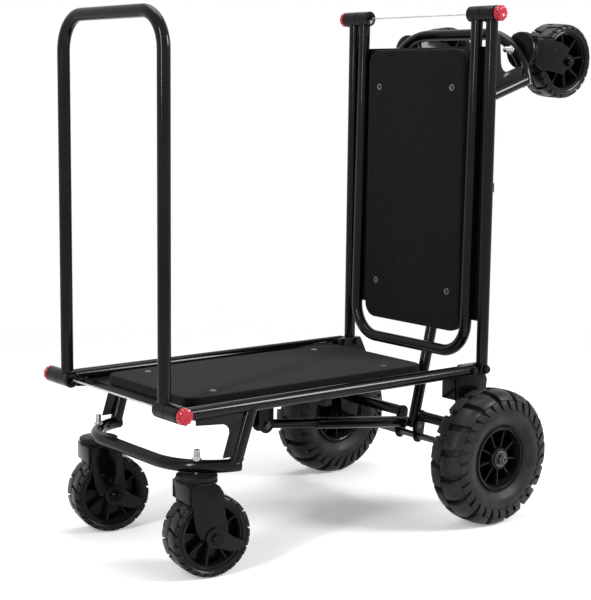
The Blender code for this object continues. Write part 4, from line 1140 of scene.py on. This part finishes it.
def caster_rim():
    lip = CASTER_RIM_R
    half = CASTER_HALF_WIDTH - 0.0020
    wall = [(half, lip - 0.0015), (half + 0.0008, lip - 0.0035), (half, lip - 0.0060),
            (half - 0.0035, lip - 0.0068), (half - 0.0040, lip - 0.0100), (half - 0.0085, lip - 0.0115),
            (0.004, lip - 0.0125)]
    band = [(half - 0.003, lip)] + wall + mirrored(wall)[::-1] + [(-half + 0.003, lip)]
    hub_end = FORK_HALF_WIDTH - FORK_SHEET - 0.001
    hub = [(-hub_end, CASTER_BOLT_R), (hub_end, CASTER_BOLT_R), (hub_end, 0.0125), (0.020, 0.0145),
           (-0.020, 0.0145), (-hub_end, 0.0125)]
    web = [(-0.0025, 0.012), (0.0025, 0.012), (0.0025, lip - 0.010), (-0.0025, lip - 0.010)]
    return spoked(((band, 0), (hub, 0.0006), (web, 0)), (0.012, lip - 0.011, 0.021, 0.024, 0.0042),
                  CASTER_SPOKES, FINISHES["rim"])


def rear_rim():
    lip = REAR_RIM_R
    half = HUB_HALF_LENGTH
    wall = [(half + 0.0022, lip - 0.0002), (half + 0.0046, lip - 0.0022), (half + 0.0040, lip - 0.0048),
            (half + 0.0010, lip - 0.0060), (half - 0.0002, lip - 0.0085), (half - 0.0060, lip - 0.0110),
            (0.010, lip - 0.0150)]
    band = [(half - 0.006, lip - 0.001)] + wall + mirrored(wall)[::-1] + [(0.006 - half, lip - 0.001)]
    hub = [(-half, BEARING_R), (half, BEARING_R), (half, 0.0225), (half - 0.004, 0.0245), (0.010, 0.0262),
           (-0.010, 0.0262), (0.004 - half, 0.0245), (-half, 0.0225)]
    web = [(-0.004, 0.022), (0.004, 0.022), (0.004, lip - 0.012), (-0.004, lip - 0.012)]
    return spoked(((band, 0), (hub, 0.0005), (web, 0)), (0.022, lip - 0.0105, 0.0275, 0.0255, 0.0034),
                  REAR_SPOKES, FINISHES["rim"])


def rear_bearing():
    """Flanged sleeve with a sealed race in its face."""
    seat = HUB_HALF_LENGTH + GAP
    face = seat + BEARING_FLANGE
    bore = AXLE_R + 0.0001
    rim = BEARING_FLANGE_R
    sections = ((-HUB_HALF_LENGTH, bore), (-HUB_HALF_LENGTH, BEARING_R), (seat, BEARING_R),
                (seat, rim - 0.0004), (seat + 0.0006, rim), (face - 0.0004, rim),
                (face, rim - 0.0006), (face, 0.0140), (face - 0.0008, 0.0134),
                (face - 0.0008, 0.0118), (face, 0.0112), (face, bore))
    return Shape().turn(sections, BEARING_SIDES, ring=True).mesh("bearing")


def rear_wheels():
    tyre_mesh, rim_mesh, bearing_mesh = rear_tyre(), rear_rim(), rear_bearing()
    for label, side in SIDES.items():
        at = CART @ Matrix.Translation((0, side * REAR_WHEEL_Y, REAR_R)) @ half_turn(side)
        body = label + "_rear_wheel"
        node = "rear_wheel_" + label
        piece(node + "_tread", tyre_mesh, at, "tyre", body, [node + "_tyre"])
        piece(node + "_spokes", rim_mesh, at, "rim", body, [node + "_rim"])
        piece(node + "_race", bearing_mesh, at, "dull", body, [node + "_bearing"])


# Casters, drawn with the swivel axis on z and the trail along +x

def swivel_housing(bm):
    r = HOUSING_R
    turned(bm, (
        (-GAP, r - 0.0060), (-0.0012, r - 0.0034), (-0.0024, r - 0.0004), (-0.0036, r), (-0.0080, r),
        (-0.0088, r - 0.0010), (-0.0092, r - 0.0028), (-0.0108, r - 0.0028), (-0.0112, r - 0.0012),
        (-0.0122, r), (-0.0158, r), (-0.0168, r - 0.0014),
    ), HOUSING_SIDES, "Z")


def fork_outline():
    top = -HOUSING_HEIGHT
    hub_x, hub_z = CASTER_TRAIL, -HUB_DROP
    outline = [(-FORK_FRONT, top), (0.020, top), (0.031, top - 0.008), (0.039, top - 0.021),
               (0.040, top - 0.042), (0.0435, top - 0.066), (hub_x + 0.029, hub_z + 0.010)]
    outline += arc((hub_x, hub_z), 0.016, 20, -200, 16)
    outline += [(hub_x - 0.0245, hub_z - 0.0005), (hub_x - 0.030, hub_z + 0.0005),
                (hub_x - 0.0325, hub_z + 0.005), (-0.020, hub_z + 0.023), (-0.0255, hub_z + 0.055),
                (-0.0275, top - 0.033)]
    return outline


def fork_leg(bm, side):
    edges = sorted((side * (FORK_HALF_WIDTH - FORK_SHEET), side * FORK_HALF_WIDTH))
    prism(bm, fork_outline(), *edges)


def fork_crown(bm):
    top = -HOUSING_HEIGHT
    low = top - CROWN_SHEET
    outline = [(-FORK_FRONT, top), (0.020, top), (0.029, low), (-FORK_FRONT, low)]
    prism(bm, outline, -FORK_HALF_WIDTH + 0.0005, FORK_HALF_WIDTH - 0.0005)


def front_guard(bm):
    half = FORK_HALF_WIDTH - 0.0012
    front = -FORK_FRONT - GUARD_SHEET + FORK_SHEET / 4
    outline = [(front, -0.0150), (front + GUARD_SHEET, -0.0150), (front + GUARD_SHEET, -0.0500),
               (front + GUARD_SHEET / 2, -0.0520), (front, -0.0500)]
    prism(bm, outline, -half, half)


def lever(bm):
    outline = arc((0, 0), 0.020, 45, 285, 22)
    outline += [(0.010, -0.0215), (0.020, -0.0260), (0.031, -0.0298), (0.042, -0.0310), (0.053, -0.0282),
                (0.062, -0.0230), (0.065, -0.0170), (0.058, -0.0118), (0.050, -0.0080), (0.038, -0.0030),
                (0.029, 0.0050), (0.022, 0.0110)]
    prism(bm, outline, LEVER_Y - LEVER_SHEET, LEVER_Y)


def lever_boss(bm):
    face = LEVER_Y - LEVER_SHEET
    sections = ((face + 0.001, 0.0168), (face - 0.0012, 0.0160), (face - 0.0012, 0.0128),
                (face + 0.0002, 0.0120))
    turned(bm, sections, CORNER_SIDES)


def caster_bolt():
    """Axle bolt with its head outside the lever and its nut outside the other leg."""
    head = LEVER_Y - LEVER_SHEET - GAP
    nut = FORK_HALF_WIDTH + GAP
    shape = Shape()
    shape.add(hex_bolt, -head, *HEADS["caster head"], CASTER_BOLT_R, at=half_turn(-1))
    shape.add(hex_bolt, nut, *HEADS["caster nut"], CASTER_BOLT_R)
    shape.turn(((head, CASTER_BOLT_R), (nut, CASTER_BOLT_R)), BOLT_SIDES)
    shape.add(threaded_end, nut + 0.006, nut + 0.0098, CASTER_BOLT_R, 0.0012)
    return shape.mesh("caster_bolt")


def stem_bolt():
    """Swivel bolt through the caster tube, drawn along y and then set upright: head, nut and thread."""
    crown = CASTER_TOP - HOUSING_HEIGHT - CROWN_SHEET - GAP
    nut = -SUBFRAME_DROP + TUBE_R + GAP
    shape = Shape()
    shape.add(hex_bolt, nut, *HEADS["stem nut"], STEM_R)
    shape.add(threaded_end, nut + 0.003, nut + 0.020, STEM_R, 0.0014)
    shape.turn(((crown, STEM_R), (nut + 0.004, STEM_R)), BOLT_SIDES)
    shape.turn(((crown - 0.006, 0.0085), (crown - 0.0050, 0.0100), (crown, 0.0100)), BOLT_SIDES)
    mesh = shape.mesh("stem_bolt")
    mesh.transform(Matrix.Rotation(math.pi / 2, 4, "X"))
    return mesh


def fork_mesh():
    shape = Shape().add(fork_crown, edge=0.0020, steps=3)
    shape.add(front_guard, edge=0.0018, steps=3)
    for side in (-1, 1):
        shape.add(fork_leg, side, edge=0.0018, steps=3)
        for x, z, radius in ((-0.004, -0.075, 0.0036), (0.013, -0.088, 0.0032), (0.035, -0.110, 0.0032)):
            shape.add(dome, x, side * FORK_HALF_WIDTH, z, radius, 0.0014, side)
    return shape.mesh("fork")


def casters(half):
    stem, fork, bolt = stem_bolt(), fork_mesh(), caster_bolt()
    housing = Shape().add(swivel_housing).mesh("housing")
    arm = Shape().add(lever, edge=0.0008).add(lever_boss).mesh("lever")
    rim, tread = caster_rim(), caster_tyre()
    for label, side in half_sides(half):
        name = f"{half}_{label}_caster"
        top = HALVES[half] @ Matrix.Translation((STEM_X, side * STEM_Y, 0))
        swing = Matrix.Rotation(SWIVELS[(half, label)], 4, "Z")
        swivel = top @ (Matrix.Translation((0, 0, CASTER_TOP)) @ swing)
        hub = swivel @ Matrix.Translation((CASTER_TRAIL, 0, -HUB_DROP))
        forked, wheel = name + "_fork", name + "_wheel"
        for part, mesh, at, finish, body, slot, stands_for in (
            ("stem_bolt", stem, top, "zinc", half + "_half", ZINC, "stem"),
            ("yoke", fork, swivel, "fork", forked, ENAMEL, "fork"),
            ("swivel_head", housing, swivel, "sheet", forked, ENAMEL, ""),
            ("axle_bolt", bolt, hub, "fork", forked, ZINC, "axle"),
            ("lever", arm, hub, "lever", name + "_brake", ENAMEL, "brake"),
            ("spokes", rim, hub, "rim", wheel, PLASTIC, "rim"),
            ("tread", tread, hub, "tread", wheel, RUBBER, "tyre"),
        ):
            nodes = [f"caster_{half}_{label}_{stands_for}"] if stands_for else []
            piece(f"{name}_{part}", mesh, at, finish, body, nodes)


# Centre

def leg_web(bm, side):
    top = PIN_HEIGHT + 0.010
    waist = PIN_HEIGHT - 0.067
    foot_r = 0.022
    outline = [(-LEG_EDGE, PIN_HEIGHT), (-LEG_EDGE + 0.006, top), (LEG_EDGE - 0.006, top),
               (LEG_EDGE, PIN_HEIGHT), (0.050, PIN_HEIGHT - 0.029), (0.046, waist), (foot_r, REAR_R - 0.008)]
    outline += arc((0, REAR_R), foot_r, -20, -160, 10)
    outline += [(-foot_r, REAR_R - 0.008), (-LEG_EDGE, waist)]
    prism(bm, outline, *sorted((side * LEG_INNER_Y, side * LEG_OUTER_Y)))


def leg_flange(bm, side):
    ends = sorted((side * FLANGE_INNER_Y, side * (LEG_INNER_Y + 0.006)))
    low = (-LEG_EDGE, ends[0], PIN_HEIGHT - FLANGE_BOTTOM)
    block(bm, low, (-LEG_EDGE + FLANGE_SHEET, ends[1], PIN_HEIGHT - FLANGE_TOP))


def ear_plate(bm, ear, back):
    outline = []
    for centre, radius, start, end in (
        ((0, REAR_R), AXLE_R + 0.0075, 190, 350),
        ((STUB_X, STUB_HEIGHT), STUB_R + 0.002, -10, 150),
        ((STRUT_PIVOT_X, STRUT_PIVOT_HEIGHT), STRUT_BOLT_R + 0.010, 150, 190),
    ):
        outline += arc(centre, radius, start, end, 10)
    prism(bm, outline, *sorted((ear, back)))


def leg(label, side):
    """One leg with its flange, the stub over the axle and the ear that holds the struts' bolt."""
    ear = EARS[label]
    back = ear + side * EAR_SHEET
    shape = Shape().add(leg_web, side, edge=0.0016, steps=3).add(leg_flange, side, edge=0.0014, steps=3)
    ends = ((ear + side * EAR_SHEET / 2, STUB_R), (side * (LEG_INNER_Y + 0.006), STUB_R))
    stub = (STUB_X, 0, STUB_HEIGHT)
    shape.turn(ends, TUBE_SIDES, centre=stub)
    shape.add(ear_plate, ear, back, edge=0.0009)
    seams = []
    angles = [2 * math.pi * k / WELD_POINTS for k in range(WELD_POINTS)]
    for y in (back + side * 0.0006, side * (LEG_INNER_Y - 0.0006)):
        seams.append([ring_point("Y", stub, y, STUB_R + 0.0004, angle) for angle in angles])
    shape.add_mesh(weld(seams))
    piece(label + "_leg", shape.mesh("leg"), CART, "fork", "centre_frame", ["leg_" + label])


def hinge_pin(half, label, side):
    pin = Shape().add(hex_bolt, SIDE_TUBE_Y + TUBE_R + GAP, *HEADS["pin head"], PIN_R)
    pin.add(hex_bolt, -(LEG_INNER_Y - GAP), *HEADS["pin nut"], PIN_R, at=half_turn(-1))
    pin.turn(((LEG_INNER_Y - 0.002, PIN_R), (SIDE_TUBE_Y + TUBE_R, PIN_R)), BOLT_SIDES)
    x = -PIN_X if half == "front" else PIN_X
    at = CART @ Matrix.Translation((x, 0, PIN_HEIGHT)) @ half_turn(side)
    piece(f"{half}_pin_{label}", pin.mesh("pin"), at, "fork", "centre_frame",
          [f"hinge_bolt_{half}_{label}"])


def centre():
    for label, side in SIDES.items():
        leg(label, side)
        for half in ("front", "rear"):
            hinge_pin(half, label, side)


def axle_tip(bm, low, high):
    """End of the axle with the centre hole that it was turned on."""
    turned(bm, (
        (low, AXLE_R), (high - 0.0010, AXLE_R), (high, AXLE_R - 0.0010), (high, 0.0042),
        (high - 0.0012, 0.0034), (high - 0.0042, 0.0030), (high - 0.0055, 0.0006),
    ), TIP_SIDES)


def axle_rod():
    inner = LEG_OUTER_Y + GAP
    hub = REAR_WHEEL_Y - HUB_HALF_LENGTH - GAP
    nut = REAR_WHEEL_Y + HUB_HALF_LENGTH + BEARING_FLANGE + 2 * GAP
    spacer = ((inner, SPACER_R - 0.0006), (inner + 0.0006, SPACER_R), (hub - 0.0006, SPACER_R),
              (hub, SPACER_R - 0.0006))
    shape = Shape().turn(((-nut, AXLE_R), (nut, AXLE_R)), AXLE_SIDES)
    for side in (-1, 1):
        turn = half_turn(side)
        shape.turn(spacer, AXLE_SIDES, at=turn)
        shape.add(hex_bolt, nut, *HEADS["axle nut"], AXLE_R, at=turn)
        shape.add(axle_tip, nut + 0.008, nut + 0.0120, at=turn)
    at = CART @ Matrix.Translation((0, 0, REAR_R))
    piece("axle_and_nuts", shape.mesh("axle"), at, "dull", "centre_frame", ["axle_rod"])


def pivot_bolt():
    near, far = EARS["near"] - EAR_SHEET - GAP, EARS["far"] + EAR_SHEET + GAP
    spacer = STRUT_Y["rear"] + TUBE_R + GAP
    collar = ((spacer, 0.0076), (spacer + 0.0004, 0.0080), (spacer + STRUT_SPACER - 0.0004, 0.0080),
              (spacer + STRUT_SPACER, 0.0076))
    shape = Shape().turn(((near, STRUT_BOLT_R), (far, STRUT_BOLT_R)), BOLT_SIDES)
    shape.add(hex_bolt, -near, *HEADS["strut head"], STRUT_BOLT_R, at=half_turn(-1))
    shape.add(hex_bolt, far, *HEADS["strut nut"], STRUT_BOLT_R)
    shape.turn(collar, AXLE_SIDES)
    at = CART @ Matrix.Translation((STRUT_PIVOT_X, 0, STRUT_PIVOT_HEIGHT))
    piece("struts_pivot_bolt", shape.mesh("bolt"), at, "bolt", "centre_frame", ["strut_bolt"])


def strut(half):
    """Outer tube with a bush in its mouth, and the rod that slides in it."""
    outward = -1 if half == "front" else 1
    drop, out = (-BRACKET_DROP, BRACKET_X) if half == "front" else (BRACKET_X, BRACKET_DROP)
    run = outward * (PIN_X + out) - STRUT_PIVOT_X
    rise = PIN_HEIGHT + drop - STRUT_PIVOT_HEIGHT
    axis = CART @ Matrix.Translation((STRUT_PIVOT_X, STRUT_Y[half], STRUT_PIVOT_HEIGHT))
    axis = axis @ Matrix.Rotation(math.atan2(-rise, run), 4, "Y")
    eye = axis @ Matrix.Translation((math.hypot(run, rise), 0, 0))
    bore = STRUT_ROD_R + 0.0001
    mouth = STRUT_TUBE_LENGTH
    tube = ((-STRUT_TAIL, TUBE_R - 0.0035), (-STRUT_TAIL + 0.0020, TUBE_R), (mouth - 0.0006, TUBE_R),
            (mouth, TUBE_R - 0.0006), (mouth, TUBE_R - 0.0016), (mouth - 0.004, TUBE_R - 0.0016),
            (mouth - 0.004, bore), (0.017, bore))
    bush = ((mouth - 0.0035, TUBE_R - 0.0018), (mouth - 0.0004, TUBE_R - 0.0018),
            (mouth - 0.0001, TUBE_R - 0.0021), (mouth - 0.0001, bore + 0.0001),
            (mouth - 0.0035, bore + 0.0001))
    rod = ((-STRUT_ROD_LENGTH, STRUT_ROD_R - 0.001), (-STRUT_ROD_LENGTH + 0.001, STRUT_ROD_R),
           (0.0045, STRUT_ROD_R), (0.0080, STRUT_ROD_R - 0.0012), (0.0098, STRUT_ROD_R - 0.0035))
    for part, sections, ring, at, finish, body, slot, nodes in (
        ("sleeve", tube, False, axis, "tube", "outer", ENAMEL, [half + "_strut_tube"]),
        ("bush", bush, True, axis, "plug", "outer", PLASTIC, []),
        ("slide", rod, False, eye, "tube", "inner", ENAMEL, [half + "_strut_rod"]),
    ):
        mesh = Shape().turn(sections, TUBE_SIDES, axis="X", ring=ring).mesh(part)
        piece(f"{half}_strut_{part}", mesh, at, finish, f"{half}_strut_{body}", nodes)


# Room

WHITE = (1.0, 1.0, 1.0, 1.0)
SKY_LIGHT = 0.35
LAMP_TARGET = Vector((0.0, 0.0, 0.4))
# Place, width, height and power of each soft lamp
LAMPS = {
    "top_box": ((0.3, 0.5, 3.2), 2.0, 1.8, 45),
    "left_box": ((-3.3, -1.2, 2.0), 0.35, 2.2, 80),
    "right_box": ((2.0, -2.5, 2.1), 1.0, 1.2, 115),
}


def seen_directly(tree):
    """1 where a camera, a mirror or clear stuff looks, and 0 for the light that falls on things."""
    path = tree.nodes.new("ShaderNodeLightPath").outputs
    seen = math_node(tree, "MAXIMUM", path["Is Camera Ray"], path["Is Glossy Ray"])
    return math_node(tree, "MAXIMUM", seen, path["Is Transmission Ray"])


def sky():
    """Even light from all round, and pure white where it is looked at."""
    world = bpy.data.worlds.new("studio")
    bpy.context.scene.world = world
    world.use_nodes = True
    tree = world.node_tree
    tree.nodes.clear()
    mix = add_node(tree, "ShaderNodeMixShader", {0: seen_directly(tree)})
    for k, strength in ((1, SKY_LIGHT), (2, 1.0)):
        shade = add_node(tree, "ShaderNodeBackground", {"Color": WHITE, "Strength": strength})
        tree.links.new(shade.outputs[0], mix.inputs[k])
    add_node(tree, "ShaderNodeOutputWorld", {"Surface": mix.outputs[0]})


# The floor is solid near the cart and has faded away farther off; its lift brightens what is seen of it
FLOOR_REACH = 9.0
FLOOR_SOLID = 1.2
FLOOR_FADE = 2.6
FLOOR_LIFT = 0.26


def floor():
    """Pale floor that fades into the white room behind."""
    size = FLOOR_REACH
    mesh = Shape().add(block, (-size, -size, -0.02), (size, size, -0.0002)).mesh("floor")
    finish = Finish("pale_floor", specular=0.0)
    tree = finish.tree
    finish.set("Base Color", finish.clouded(1.5, 3.0, (0.93, 0.93, 0.93), (0.94, 0.94, 0.94)))
    finish.set("Roughness", 0.9)
    finish.set("Emission Color", WHITE)
    finish.set("Emission Strength", math_node(tree, "MULTIPLY", seen_directly(tree), FLOOR_LIFT))
    place = tree.nodes.new("ShaderNodeTexCoord").outputs["Object"]
    distance = add_node(tree, "ShaderNodeVectorMath", {0: place}, operation="LENGTH").outputs["Value"]
    finish.set("Alpha", spread(tree, distance, 1.0, 0.0, FLOOR_SOLID, FLOOR_FADE))
    mesh.materials.append(finish.material)
    show("floor", mesh)


def lights():
    for name, (place, width, height, power) in LAMPS.items():
        data = bpy.data.lights.new(name, "AREA")
        data.shape = "RECTANGLE"
        data.size = width
        data.size_y = height
        data.energy = power
        lamp = show(name, data)
        lamp.location = place
        lamp.rotation_euler = (LAMP_TARGET - Vector(place)).to_track_quat("-Z", "Y").to_euler()


CAMERA_YAW = math.radians(38.38)
CAMERA_PITCH = math.radians(8.37)
CAMERA_ROLL = math.radians(-0.65)
CAMERA_PLACE = (-2.2127, -2.3837, 0.9277)
CAMERA_LENS = 86.59


def camera():
    yaw, pitch, roll = CAMERA_YAW, CAMERA_PITCH, CAMERA_ROLL
    right = Vector((math.cos(yaw), -math.sin(yaw), 0))
    forward = Vector((math.sin(yaw) * math.cos(pitch), math.cos(yaw) * math.cos(pitch), -math.sin(pitch)))
    up = right.cross(forward)
    x_axis = math.cos(roll) * right - math.sin(roll) * up
    y_axis = math.sin(roll) * right + math.cos(roll) * up
    turn = Matrix((x_axis, y_axis, -forward)).transposed().to_4x4()
    data = bpy.data.cameras.new("camera")
    data.lens = CAMERA_LENS
    made = show("camera", data)
    made.matrix_world = CART @ Matrix.Translation(CAMERA_PLACE) @ turn
    bpy.context.scene.camera = made


bpy.context.scene.view_settings.view_transform = "Standard"
camera()
sky()
lights()
floor()
for half_name in ("front", "rear"):
    deck_frame(half_name)
    deck(half_name)
    subframe(half_name)
    handle(half_name)
    strut(half_name)
    casters(half_name)
rear_wheels()
centre()
axle_rod()
pivot_bolt()
